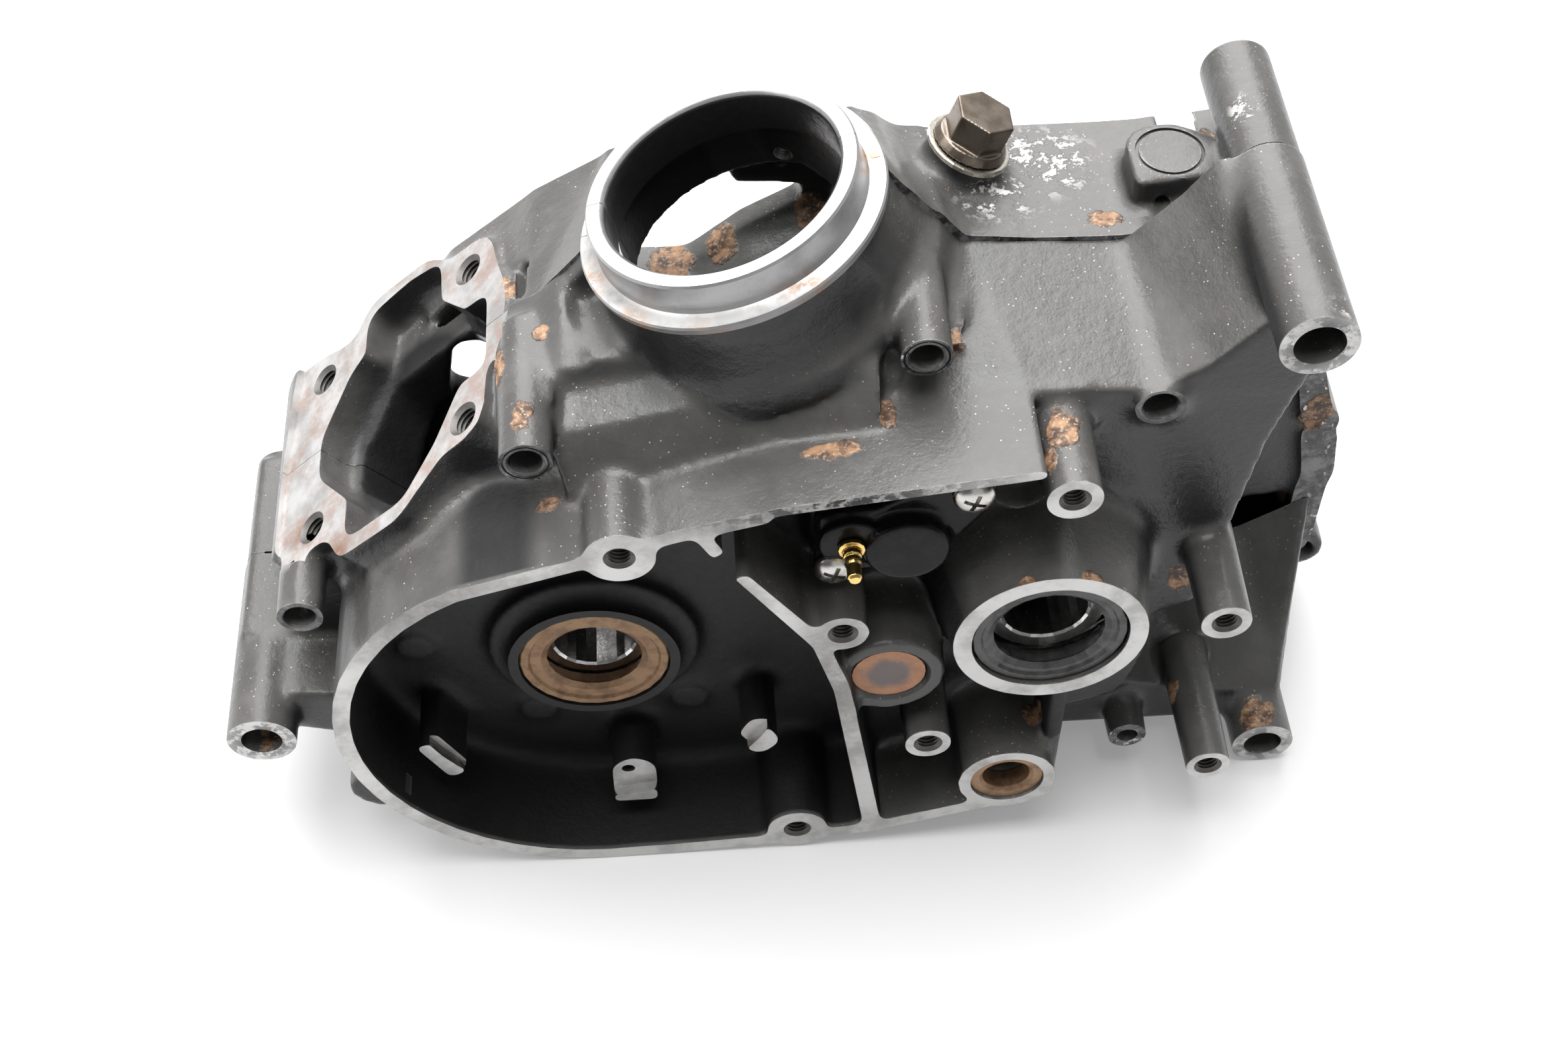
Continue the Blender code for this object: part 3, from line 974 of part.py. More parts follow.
def neutral_switch(mats):
    """The gear indicator switch: a moulded body, its brass terminal and two pan-head screws."""
    front = SWITCH_BACK_Y - SWITCH_BASE_THICKNESS
    body = prism("neutral_switch_body", PARTS, rounded(SWITCH_PLATE), front, SWITCH_BACK_Y)
    home = bpy.data.collections.new("switch forms")
    CUTTERS.children.link(home)
    rod("dome", home, SWITCH_DOME, front - SWITCH_DOME_HEIGHT, front + 0.002, SWITCH_DOME_RADIUS - 0.0008,
        SWITCH_DOME_RADIUS, sides=32)
    rod("ear", home, SWITCH_EAR, front - 0.0028, front + 0.002, SWITCH_EAR_RADIUS, sides=28)
    boolean(body, "UNION", home)
    cuts = bpy.data.collections.new("switch holes")
    CUTTERS.children.link(cuts)
    for index, centre in enumerate(SWITCH_SCREWS):
        rod("clearance_%d" % index, cuts, centre, 0.0, 0.040, SCREW_RADIUS + FIT_GAP, sides=12)
        rod("counterbore_%d" % index, cuts, centre, 0.0, front, SCREW_HEAD_RADIUS + 0.0004, sides=20)
    rod("terminal_hole", cuts, SWITCH_EAR, 0.0, 0.040, 0.0018 + FIT_GAP, sides=16)
    boolean(body, "DIFFERENCE", cuts)
    finish(body, mats["black_plastic"])
    tip = front - 0.0028
    profile = [
        (0.0018, SWITCH_BACK_Y - 0.0005), (0.0018, tip - FIT_GAP), (0.0034, tip - FIT_GAP), (0.0034, tip - 0.0016),
        (0.0024, tip - 0.0017), (0.0024, tip - 0.0036), (0.0019, tip - 0.0040), (0.0019, tip - 0.0050),
        (0.0023, tip - 0.0056), (0.0019, tip - 0.0066), (0.0019, tip - 0.0100), (0.0013, tip - 0.0108),
    ]
    centre = (SWITCH_EAR[0], SWITCH_EAR[1])
    mesh = bpy.data.meshes.new("neutral_switch_terminal")
    points = [(0.0, 0.0, SWITCH_BACK_Y - 0.0005)] + [(radius, 0.0, depth) for radius, depth in profile]
    points += [(0.0, 0.0, tip - 0.0108)]
    mesh.from_pydata(points, [(index, index + 1) for index in range(len(points) - 1)], [])
    terminal = bpy.data.objects.new("neutral_switch_terminal", mesh)
    terminal.location = (centre[0], 0.0, centre[1])
    terminal.rotation_euler = (-math.pi / 2, 0, 0)
    bpy.context.scene.collection.objects.link(terminal)
    screw = terminal.modifiers.new("turn", "SCREW")
    screw.axis = "Z"
    screw.angle = 2 * math.pi
    screw.steps = 12
    screw.render_steps = 12
    screw.use_merge_vertices = True
    screw.merge_threshold = 0.00001
    adopt(terminal, "neutral_switch_terminal", PARTS)
    finish(terminal, mats["brass"])
    for index, at in enumerate(SWITCH_SCREWS):
        pan_screw("neutral_switch_screw_%d" % (index + 1), at, front - FIT_GAP, mats["zinc"])


def pan_screw(name, centre, under_head, mat):
    """A pan-head screw with a cross recess."""
    height = 0.0036
    screw = rod(name, PARTS, centre, under_head - 0.0005, under_head + 0.0120, SCREW_RADIUS, sides=16)
    home = bpy.data.collections.new(name + " head")
    CUTTERS.children.link(home)
    crown = under_head - height
    rod("crown", home, centre, crown, under_head, SCREW_HEAD_RADIUS - 0.0016, SCREW_HEAD_RADIUS, sides=16)
    boolean(screw, "UNION", home)
    cuts = bpy.data.collections.new(name + " recess")
    CUTTERS.children.link(cuts)
    for index, turn in enumerate((0.5, 0.5 + math.pi / 2)):
        bpy.ops.mesh.primitive_cube_add(size=1.0, location=(centre[0], crown, centre[1]), rotation=(0, turn, 0))
        arm = bpy.context.object
        arm.data.transform(Matrix.Diagonal((0.0052, 0.0032 - 0.0003 * index, 0.0011, 1.0)))
        adopt(arm, "arm_%d" % index, cuts)
    boolean(screw, "DIFFERENCE", cuts)
    finish(screw, mat)


def plug_bolt(mats):
    """The flanged hexagon bolt and its washer on the leaning boss of the right half."""
    axis = Vector((math.sin(PLUG_BOLT_LEAN), 0, math.cos(PLUG_BOLT_LEAN)))
    base = Vector((PLUG_BOLT_X, PLUG_BOLT_Y, PLUG_BOLT_BASE_Z))
    turn = (0, PLUG_BOLT_LEAN, 0)
    low = PLUG_BOSS_TOP + FIT_GAP
    profile = [
        (PLUG_WASHER_RADIUS, PLUG_WASHER_THICKNESS - 0.0003), (PLUG_WASHER_RADIUS, 0.0003),
        (PLUG_WASHER_RADIUS - 0.0003, 0.0), (PLUG_BOLT_SHANK_RADIUS + FIT_GAP, 0.0),
        (PLUG_BOLT_SHANK_RADIUS + FIT_GAP, PLUG_WASHER_THICKNESS),
        (PLUG_WASHER_RADIUS - 0.0003, PLUG_WASHER_THICKNESS),
    ]
    washer = turned("top_plug_washer", PARTS, (0, 0), 0.0, profile, 24)
    washer.location = base + axis * low
    washer.rotation_euler = turn
    finish(washer, mats["zinc"])
    seat_height = low + PLUG_WASHER_THICKNESS + FIT_GAP
    bpy.ops.mesh.primitive_cylinder_add(
        vertices=20, radius=PLUG_BOLT_SHANK_RADIUS, depth=PLUG_BOLT_SHANK_LENGTH,
        location=base + axis * (seat_height - PLUG_BOLT_SHANK_LENGTH / 2 + 0.0005), rotation=turn,
    )
    bolt = adopt(bpy.context.object, "top_plug_bolt", PARTS)
    home = bpy.data.collections.new("bolt head")
    CUTTERS.children.link(home)
    bpy.ops.mesh.primitive_cone_add(
        vertices=32, radius1=PLUG_BOLT_FLANGE_RADIUS, radius2=PLUG_BOLT_FLANGE_RADIUS - 0.0012, depth=0.0024,
        location=base + axis * (seat_height + 0.0012), rotation=turn,
    )
    adopt(bpy.context.object, "bolt_flange", home)
    corner = PLUG_BOLT_HEX / math.sqrt(3)
    bpy.ops.mesh.primitive_cylinder_add(
        vertices=6, radius=corner, depth=PLUG_BOLT_HEAD, rotation=turn,
        location=base + axis * (seat_height + 0.0016 + PLUG_BOLT_HEAD / 2),
    )
    adopt(bpy.context.object, "bolt_hexagon", home)
    boolean(bolt, "UNION", home)
    finish(bolt, mats["dark_steel"])


def stand_on_origin():
    """Move the case's empty so that the lowest points are at Z = 0 and the footprint is centred."""
    bpy.context.view_layer.update()
    graph = bpy.context.evaluated_depsgraph_get()
    low = Vector((1e9, 1e9, 1e9))
    high = -low
    for obj in PARTS.objects:
        if obj.type != "MESH":
            continue
        shaped = obj.evaluated_get(graph)
        for corner in shaped.bound_box:
            point = shaped.matrix_world @ Vector(corner)
            low = Vector(map(min, low, point))
            high = Vector(map(max, high, point))
    CASE.location -= Vector(((low.x + high.x) / 2, (low.y + high.y) / 2, low.z))
    bpy.context.view_layer.update()


clear_scene()
PARTS = new_collection("crankcase")
CUTTERS = new_collection("cutters")
CUTTERS.hide_render = True
CASE = bpy.data.objects.new("case_frame", None)
PARTS.objects.link(CASE)
BOOLEANS = []

materials = {
    "casting": material("casting", 0.0, 0.45),
    "steel": material("steel", 1.0, 0.25),
    "dark_steel": material("dark_steel", 1.0, 0.40),
    "seal_brown": material("seal_brown", 0.3, 0.50),
    "seal_black": material("seal_black", 0.2, 0.40),
    "copper": material("copper", 1.0, 0.40),
    "bronze": material("bronze", 1.0, 0.45),
    "black_plastic": material("black_plastic", 0.0, 0.35),
    "brass": material("brass", 1.0, 0.25),
    "zinc": material("zinc", 1.0, 0.35),
}

build_half("left_case", materials["casting"], (
    ("UNION", "stock", left_stock), ("DIFFERENCE", "hollows", left_cavities),
    ("UNION", "bosses", left_bosses), ("DIFFERENCE", "holes", left_holes),
))
build_half("right_case", materials["casting"], (
    ("UNION", "stock", right_stock), ("DIFFERENCE", "hollows", right_cavities),
    ("UNION", "bosses", right_bosses), ("DIFFERENCE", "holes", right_holes),
))
ball_bearing("crank_left", CRANK, CRANK_LEFT_BEARING_Y, materials["steel"])
ball_bearing("crank_right", CRANK, CRANK_RIGHT_BEARING_Y, materials["steel"])
ball_bearing("output_left", OUTPUT, OUTPUT_BEARING_Y, materials["steel"])
small_parts(materials)
neutral_switch(materials)
plug_bolt(materials)
add_booleans()
stand_on_origin()
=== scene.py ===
import json
import math

import bmesh
import bpy
import numpy as np
from mathutils import Matrix, Vector


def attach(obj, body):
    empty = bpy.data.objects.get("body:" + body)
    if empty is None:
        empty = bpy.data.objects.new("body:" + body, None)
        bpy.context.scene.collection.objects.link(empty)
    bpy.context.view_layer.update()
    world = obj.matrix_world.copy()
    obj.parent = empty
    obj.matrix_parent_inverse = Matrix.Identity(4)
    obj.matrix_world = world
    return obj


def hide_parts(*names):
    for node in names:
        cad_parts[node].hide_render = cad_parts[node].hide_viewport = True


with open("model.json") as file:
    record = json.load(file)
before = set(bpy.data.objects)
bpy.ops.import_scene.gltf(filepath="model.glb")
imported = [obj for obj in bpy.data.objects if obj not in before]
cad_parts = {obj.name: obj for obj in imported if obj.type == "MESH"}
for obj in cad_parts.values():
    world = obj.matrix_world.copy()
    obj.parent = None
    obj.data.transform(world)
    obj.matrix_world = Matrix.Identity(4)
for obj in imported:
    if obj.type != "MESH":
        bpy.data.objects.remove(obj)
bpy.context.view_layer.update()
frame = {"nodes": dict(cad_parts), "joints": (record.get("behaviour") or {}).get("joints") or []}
print("stage: frame loaded")

# The crank axis on the magneto rim's plane; all places below are measured from it, in millimetres.
crankJoint = next(j for j in frame["joints"] if j["name"] == "crank_left_race_turn")
origin = Vector(crankJoint["pos_m"]) - Vector((0, 0.0343, 0))


def at(x, y, z):
    return origin + Vector((x, y, z)) / 1000


# The halves' seam and the clutch cover's face, along Y
seamY = 66
clutchFaceY = 109
flangeHeight = 75
flangeLean = math.radians(42.0)
flangeNormal = Vector((-math.sin(flangeLean), 0, math.cos(flangeLean)))
flangeSlope = Vector((math.cos(flangeLean), 0, math.sin(flangeLean)))
collarLean = math.radians(16.6)
collarAxis = Vector((-math.sin(collarLean), 0, math.cos(collarLean)))
collarBase = Vector((41.3, 62.5, 120.2))
boltLean = math.radians(20.0)
boltAxis = Vector((math.sin(boltLean), 0, math.cos(boltLean)))
boltBase = Vector((98, 91.5, 102.5))


def onFlange(along, y):
    """A point on the cylinder flange's plane, by its place along the slope and along Y."""
    return flangeNormal * flangeHeight + flangeSlope * along + Vector((0, y, 0))


class Wire:
    """One socket of a material's node tree, with arithmetic that adds the maths nodes."""

    def __init__(self, tree, socket):
        self.tree = tree
        self.socket = socket

    def math(self, operation, *others):
        node = self.tree.nodes.new("ShaderNodeMath")
        node.operation = operation
        for slot, value in zip(node.inputs, (self, *others)):
            plug(self.tree, slot, value)
        return Wire(self.tree, node.outputs[0])

    def __add__(self, other):
        return self.math("ADD", other)

    def __sub__(self, other):
        return self.math("SUBTRACT", other)

    def __mul__(self, other):
        return self.math("MULTIPLY", other)

    def ramp(self, low, high):
        """0 below low, 1 above high, smooth between; the other way round when low is above high."""
        node = self.tree.nodes.new("ShaderNodeMapRange")
        node.interpolation_type = "SMOOTHSTEP"
        plug(self.tree, node.inputs["Value"], self)
        if low < high:
            node.inputs["From Min"].default_value = low
            node.inputs["From Max"].default_value = high
        else:
            node.inputs["From Min"].default_value = high
            node.inputs["From Max"].default_value = low
            node.inputs["To Min"].default_value = 1.0
            node.inputs["To Max"].default_value = 0.0
        return Wire(self.tree, node.outputs["Result"])

    def either(self, other):
        return self.math("MAXIMUM", other)


def plug(tree, slot, value):
    if isinstance(value, Wire):
        tree.links.new(value.socket, slot)
    else:
        slot.default_value = value


class Paint:
    """A material's node tree, with one method for each kind of node that the surfaces use."""

    def __init__(self, name):
        self.material = bpy.data.materials.new(name)
        self.material.use_nodes = True
        self.tree = self.material.node_tree
        self.shader = self.tree.nodes["Principled BSDF"]
        self.place = self.add("ShaderNodeTexCoord", "Object")

    def add(self, kind, output=0, settings=(), **inputs):
        node = self.tree.nodes.new(kind)
        for key, value in dict(settings).items():
            setattr(node, key, value)
        for key, value in inputs.items():
            plug(self.tree, node.inputs[key.replace("_", " ")], value)
        return Wire(self.tree, node.outputs[output])

    def noise(self, scale, detail=3.0, rough=0.55, stretch=None):
        where = self.place
        if stretch:
            where = self.add("ShaderNodeMapping", Vector=where, Scale=stretch)
        return self.add("ShaderNodeTexNoise", "Fac", Vector=where, Scale=scale, Detail=detail, Roughness=rough)

    def spots(self, scale):
        return self.add("ShaderNodeTexVoronoi", "Distance", Vector=self.place, Scale=scale)

    def attribute(self, name):
        return self.add("ShaderNodeAttribute", "Fac", {"attribute_name": name})

    def facing(self, direction):
        normal = self.add("ShaderNodeNewGeometry", "Normal")
        node = self.tree.nodes.new("ShaderNodeVectorMath")
        node.operation = "DOT_PRODUCT"
        plug(self.tree, node.inputs[0], normal)
        node.inputs[1].default_value = direction
        return Wire(self.tree, node.outputs["Value"])

    def near(self, centre, size):
        """1 at a place on the object, fading to 0 at its size away, in millimetres."""
        node = self.tree.nodes.new("ShaderNodeVectorMath")
        node.operation = "SUBTRACT"
        plug(self.tree, node.inputs[0], self.place)
        node.inputs[1].default_value = at(*centre)
        scaled = self.tree.nodes.new("ShaderNodeVectorMath")
        scaled.operation = "DIVIDE"
        self.tree.links.new(node.outputs[0], scaled.inputs[0])
        scaled.inputs[1].default_value = [value / 1000 for value in size]
        length = self.tree.nodes.new("ShaderNodeVectorMath")
        length.operation = "LENGTH"
        self.tree.links.new(scaled.outputs[0], length.inputs[0])
        return Wire(self.tree, length.outputs["Value"]).ramp(1.0, 0.0)

    def within(self, centre, radius, low, high):
        """1 inside a drum that lies along Y, given by its centre (x, z), its radius and its ends."""
        split = self.tree.nodes.new("ShaderNodeSeparateXYZ")
        plug(self.tree, split.inputs[0], self.place)
        middle = at(centre[0], 0, centre[1])
        across = Wire(self.tree, split.outputs["X"]) - middle.x
        upward = Wire(self.tree, split.outputs["Z"]) - middle.z
        along = Wire(self.tree, split.outputs["Y"]) - middle.y
        reach = (across * across + upward * upward).math("SQRT")
        ends = along.ramp(low / 1000, low / 1000 + 0.001) * along.ramp(high / 1000 + 0.001, high / 1000)
        return reach.ramp(radius / 1000, radius / 1000 - 0.001) * ends

    def any(self, places):
        found = None
        for centre, size in places:
            here = self.near(centre, size)
            found = here if found is None else found.either(here)
        return found

    def mix(self, share, first, second):
        node = self.tree.nodes.new("ShaderNodeMix")
        node.data_type = "RGBA"
        plug(self.tree, node.inputs["Factor"], share)
        plug(self.tree, node.inputs[6], colour(first))
        plug(self.tree, node.inputs[7], colour(second))
        return Wire(self.tree, node.outputs[2])

    def bump(self, height, depth, under=None):
        node = self.tree.nodes.new("ShaderNodeBump")
        node.inputs["Distance"].default_value = depth
        plug(self.tree, node.inputs["Height"], height)
        if under:
            plug(self.tree, node.inputs["Normal"], under)
        return Wire(self.tree, node.outputs[0])

    def finish(self, base, rough, metal=0.0, normal=None, **plain):
        plug(self.tree, self.shader.inputs["Base Color"], colour(base))
        plug(self.tree, self.shader.inputs["Roughness"], rough)
        plug(self.tree, self.shader.inputs["Metallic"], metal)
        if normal:
            plug(self.tree, self.shader.inputs["Normal"], normal)
        for key, value in plain.items():
            self.shader.inputs[key.replace("_", " ")].default_value = value
        return self.material


def colour(value):
    return value if isinstance(value, Wire) else (*value, 1.0)


def blackPaint():
    p = Paint("worn_black_paint")
    fine = p.noise(1500, 2.0)
    grain = p.noise(420, 4.0)
    broad = p.noise(28, 3.0)
    patchy = p.noise(95, 5.0, 0.65)
    up = p.facing((0, 0, 1)).ramp(0.15, 0.75)
    edge = p.attribute("edge")
    # Painted shade inside: the magneto chamber, the output side, the collar's well and the crank chamber are painted
    # near-black where shade falls deep in them
    recessShade = p.within((0, 0), 67.6, 0.6, 34).either(p.within((45, -30), 40, 0.6, 30))
    recessShade = recessShade.either(p.within((92, 18), 56, 0.6, 24.4) * p.facing((0, 0, 1)).ramp(0.5, 0.2))
    recessShade = recessShade.either(p.near((41, 66, 104), (44, 52, 48)).ramp(0.10, 0.25) * p.within((41, 0), 200, 34, 93.5))
    recessShade = recessShade.either(p.within((0, 10), 52, 41, 91)).either(p.near((-36, 66, 40), (34, 42, 32)).ramp(0.05, 0.2))
    unshaded = recessShade.ramp(0.6, 0.3)
    specks = p.spots(620).ramp(0.15, 0.07) * p.noise(55, 3.0).ramp(0.44, 0.60) * up * unshaded
    chips = (edge + (p.noise(330, 5.0, 0.7) - 0.5) * 1.6).ramp(1.13, 1.20) * broad.ramp(0.45, 0.60)
    chips = chips * unshaded
    bright = edge.ramp(0.55, 0.95) * p.noise(190, 4.0, 0.7).ramp(0.38, 0.62) * unshaded
    rust = (p.any(rustPlaces) * 0.9 + (patchy - 0.5) * 1.5).ramp(0.42, 0.60)
    dust = p.noise(60, 5.0, 0.7).ramp(0.40, 0.75) * up
    paint = p.mix(broad, (0.012, 0.012, 0.0125), (0.021, 0.021, 0.0215))
    # Painted sheen: up-facing paint is painted lighter, as if lit from overhead, and dust on top lightens it further
    paint = p.mix(up * 0.55 + dust * 0.30, paint, (0.112, 0.109, 0.105))
    # Painted shade: the recesses are darkened to near-black
    paint = p.mix(recessShade, paint, (0.0016, 0.0016, 0.0018))
    # The face round the copper plug, worn grey
    ring = p.within((76.8, 9.8), 14.8, 2.2, 4.2) * p.facing((0, -1, 0)).ramp(0.8, 0.9)
    paint = p.mix(ring, paint, (0.075, 0.074, 0.073))
    paint = p.mix(bright * 0.55, paint, (0.30, 0.30, 0.30))
    rusty = p.mix(p.noise(260, 4.0).ramp(0.38, 0.62), (0.055, 0.028, 0.018), (0.36, 0.20, 0.105))
    rusty = p.mix(p.noise(900, 3.0).ramp(0.52, 0.66) * 0.6, rusty, (0.52, 0.38, 0.26))
    surface = p.mix(rust * 0.88, paint, rusty)
    speckled = p.mix(p.noise(900, 1.0).ramp(0.4, 0.6), (0.75, 0.70, 0.64), (0.50, 0.26, 0.10))
    surface = p.mix(specks * 0.8, surface, speckled)
    flakes = p.any(flakePlaces) * p.noise(230, 7.0, 0.78).ramp(0.50, 0.55)
    surface = p.mix(chips.either(flakes), surface, (0.78, 0.76, 0.73))
    rough = rust * 0.35 + dust * 0.12 + recessShade * 0.30 + (grain - 0.5) * 0.14 + 0.30
    relief = p.bump(grain, 0.00018)
    relief = p.bump(fine, 0.00007, relief)
    relief = p.bump(chips * -1.0 + rust * patchy * 1.4 + flakes * 0.4, 0.0004, relief)
    return p.finish(surface, rough, 0.0, relief, Specular_IOR_Level=0.45)


def bareAluminium():
    p = Paint("machined_aluminium")
    lines = p.noise(260, 3.0, 0.6, stretch=(1, 1, 14))
    stain = p.noise(70, 5.0, 0.65)
    pits = p.spots(700).ramp(0.10, 0.05) * p.noise(120).ramp(0.5, 0.62)
    flange = p.facing(tuple(flangeNormal)).ramp(0.9, 0.97)
    base = p.mix(stain.ramp(0.40, 0.68), (0.56, 0.555, 0.55), (0.35, 0.345, 0.34))
    worn = p.any(dullPlaces)
    base = p.mix(worn * (p.noise(150, 6.0, 0.75).ramp(0.30, 0.62) * 0.5 + 0.5), base, (0.21, 0.205, 0.20))
    painted = p.any(paintedPlaces) * p.noise(230, 5.0, 0.7).ramp(0.44, 0.54)
    base = p.mix(painted, base, (0.030, 0.030, 0.031))
    base = p.mix(flange * p.noise(110, 5.0, 0.7).ramp(0.42, 0.66) * 0.7, base, (0.38, 0.26, 0.215))
    low = p.any(gasketPlaces) * (p.noise(240, 5.0, 0.7).ramp(0.34, 0.54) * 0.6 + 0.4)
    base = p.mix(low, base, (0.25, 0.135, 0.085))
    base = p.mix(pits * 0.7, base, (0.06, 0.05, 0.04))
    # Painted shade: the walls of holes and recesses are painted darker than the faces
    level = p.facing((0, 1, 0)).math("ABSOLUTE").either(p.facing(tuple(flangeNormal)))
    level = level.either(p.facing(tuple(collarAxis))).either(p.facing(tuple(boltAxis))).ramp(0.80, 0.93)
    base = p.mix(level, (0.10, 0.095, 0.09), base)
    # Painted shade inside the flange's stud bores
    bores = p.any(studBores).ramp(0.02, 0.15) * p.facing(tuple(flangeNormal)).ramp(0.93, 0.80)
    base = p.mix(bores, base, (0.11, 0.105, 0.10))
    rough = (lines - 0.5) * 0.2 + stain * 0.15 + painted * 0.1 + 0.38
    return p.finish(base, rough, 0.75, p.bump(lines + p.noise(500, 3.0) * 0.4, 0.00005))


def turnedAluminium():
    p = Paint("turned_collar")
    lines = p.noise(420, 3.0, 0.6, stretch=(1, 1, 5))
    cloud = p.noise(90, 5.0, 0.65)
    # Painted light: the collar's top face is painted lighter than its sides, as the light falls on it
    litTop = p.facing(tuple(collarAxis)).ramp(0.6, 0.9)
    base = p.mix(litTop, (0.33, 0.33, 0.335), (0.56, 0.555, 0.55))
    base = p.mix(cloud.ramp(0.48, 0.72) * 0.6, base, (0.22, 0.215, 0.21))
    stained = p.any(collarStains) * p.noise(300, 5.0, 0.75).ramp(0.40, 0.56)
    base = p.mix(stained * 0.9, base, (0.36, 0.205, 0.115))
    base = p.mix(p.spots(800).ramp(0.10, 0.05) * cloud.ramp(0.4, 0.6) * 0.7, base, (0.10, 0.07, 0.05))
    rough = (lines - 0.5) * 0.22 + stained * 0.25 + 0.34
    return p.finish(base, rough, 0.75, p.bump(lines, 0.00004))


def copperPlug():
    p = Paint("copper_plug")
    middle = p.near((76.8, 4, 9.8), (9.5, 9.5, 9.5))
    wear = p.noise(300, 5.0, 0.65)
    base = p.mix(wear.ramp(0.4, 0.7) * 0.5, (0.36, 0.19, 0.11), (0.27, 0.13, 0.075))
    base = p.mix((middle + (wear - 0.5) * 0.5).ramp(0.02, 0.62), base, (0.145, 0.120, 0.118))
    return p.finish(base, (wear - 0.5) * 0.2 + 0.5, 0.6, p.bump(wear, 0.00006))


def plainMetal(name, base, tarnish, rough, scale=300.0, dirt=0.5):
    p = Paint(name)
    wear = p.noise(scale, 4.0, 0.6)
    marks = p.noise(scale * 4, 2.0)
    shade = p.mix(wear.ramp(0.45, 0.70) * dirt, base, tarnish)
    return p.finish(shade, (marks - 0.5) * 0.15 + rough, 1.0, p.bump(marks, 0.00003))


def rubberLike(name, base, worn, rough, metal=0.0, gloss=0.5):
    p = Paint(name)
    wear = p.noise(240, 4.0, 0.6)
    shade = p.mix(wear.ramp(0.40, 0.65), base, worn)
    relief = p.bump(p.noise(900, 2.0), 0.00004)
    return p.finish(shade, (wear - 0.5) * 0.2 + rough, metal, relief, Specular_IOR_Level=gloss)


# Places of brown corrosion on the paint, as centre and reach
rustPlaces = (
    ((-89, 20, -20), (14, 18, 9)), ((-10, 19, 68), (14, 7, 5)), ((-11, 26, 92), (6, 12, 3)),
    ((75.5, 24, 89.5), (5, 10, 5)), ((62, 15.5, 86.5), (17, 5, 3.5)), ((92.5, 38.5, 96), (6, 9, 8)),
    ((116, 17, 89), (9, 12, 6)), ((112, 8, 87), (4, 8, 6)), ((125.5, 0.7, 50.5), (8, 4, 2.4)),
    ((109.5, 0.3, 50.7), (5, 4, 2.4)), ((156, 25, 17), (9, 6, 12)), ((119, 13, -25), (6, 9, 6)),
    ((188, 25, -50), (11, 13, 8)), ((158, 24, -34), (11, 8, 11)), ((199, 66, 34), (9, 8, 15)),
    ((198, 79, -8), (8, 16, 15)), ((196, 72, 60), (9, 9, 16)), ((26, 102, 66), (14, 12, 8)),
    ((39, 102, 73), (12, 12, 9)), ((63, 100, 86), (9, 12, 10)), ((-17, 45, 88), (7, 12, 8)),
    ((-16.5, 76, 86), (7, 9, 7)), ((-6.5, 52, 93.5), (4, 5, 4)), ((134, 72, 103), (8, 6, 4)),
    ((163.5, 97, 107), (4, 10, 8)), ((-75, 50, 8), (10, 16, 12)), ((100, 20, 74), (9, 8, 6)),
)
# Places of white flaking on the paint
flakePlaces = (
    ((106, 82, 103), (16, 14, 8)), ((120, 94, 103), (20, 17, 8)), ((165, 80, 130), (5, 7, 5)),
    ((106, 1, 95.5), (9, 2, 1.6)), ((175, 12, 128), (6, 5, 6)),
)
# Places of machined metal that are dull, that keep paint, and that show gasket
dullPlaces = (
    ((50, 0, 84), (78, 4, 22)), ((62, 0, 8), (18, 4, 66)), ((76.8, 3, 9.8), (22, 4, 22)), ((-40, 0, 55), (40, 3, 40)),
)
paintedPlaces = (
    ((169.5, 8, 122), (16, 6, 16)), ((-89.5, 9.5, -13), (16, 6, 16)), ((190, 20, -58.5), (14, 5, 14)),
    ((60, 0, 86), (60, 2.5, 14)),
)
gasketPlaces = (((-72, 40, 36), (9, 9, 9)), ((-10, 66, 96), (8, 46, 8)), ((-60, 25, 45), (9, 8, 9)))
collarStains = (
    ((74, 66, 132), (6, 9, 5)), ((18, 33, 113), (10, 10, 4)), ((58, 31, 125), (12, 9, 4)), ((8, 50, 111), (6, 10, 4)),
    ((40, 27, 118), (16, 6, 3)),
)

# Places whose inner corners keep a small radius, as two corners of a box
crispPlaces = (((-9, 6, 66), (76, 27.5, 104)),)
# Metal left on each machined flat before the smoothing, and cut off after it
flatStock = 0.0022
# The reach that stands for the cylinder flange's own outline
flangeReach = 66
# Half of the fine gap that the seam shows
seamGap = 0.07
# Machined flats of each casting: a point, the way out of the metal, the reach round the point and its material,
# 1 for bare metal and 0 for paint
leftFlats = [
    ((0, 0, 0), (0, -1, 0), 400, 1), ((0, seamY - seamGap, 0), (0, 1, 0), 400, 0),
    ((-89.5, 9.5, -13), (0, -1, 0), 10.6, 1), ((169.5, 8, 122), (0, -1, 0), 10.6, 1),
    ((190, 20, -58.5), (0, -1, 0), 10.2, 1), ((-10.5, 16.5, 86), (0, -1, 0), 7.8, 0),
    ((-72.5, 17, 30.4), (0, -1, 0), 7.2, 0), ((84.5, 27, 104), (0, -1, 0), 7.6, 0),
    ((141.2, 23.5, 86.8), (0, -1, 0), 7.0, 0), ((149.5, 20.5, -51), (0, -1, 0), 6.8, 0),
    ((0, 19.8, 0), (0, -1, 0), 24.0, 0),
    ((-43.5, 9.5, -27.5), (0, -1, 0), 11.5, 1), ((8.2, 9.5, -44), (0, -1, 0), 11.5, 1),
    ((43.5, 9.5, -27), (0, -1, 0), 9.0, 1), ((0, 12.5, 0), (0, -1, 0), 49.9, 1),
]
rightFlats = [
    ((0, clutchFaceY, 0), (0, 1, 0), 400, 1), ((0, seamY + seamGap, 0), (0, -1, 0), 400, 0),
    ((-89.5, 104.5, -13), (0, 1, 0), 10.2, 1), ((169.5, 104.5, 122), (0, 1, 0), 10.2, 1),
    ((0, 103.7, 0), (0, 1, 0), 30.0, 1), ((76.8, 102.5, 9.8), (0, 1, 0), 29.5, 1),
    ((117, 100, 27), (0, 1, 0), 18.0, 1), (tuple(boltBase + boltAxis * 8.8), tuple(boltAxis), 12.5, 1),
]
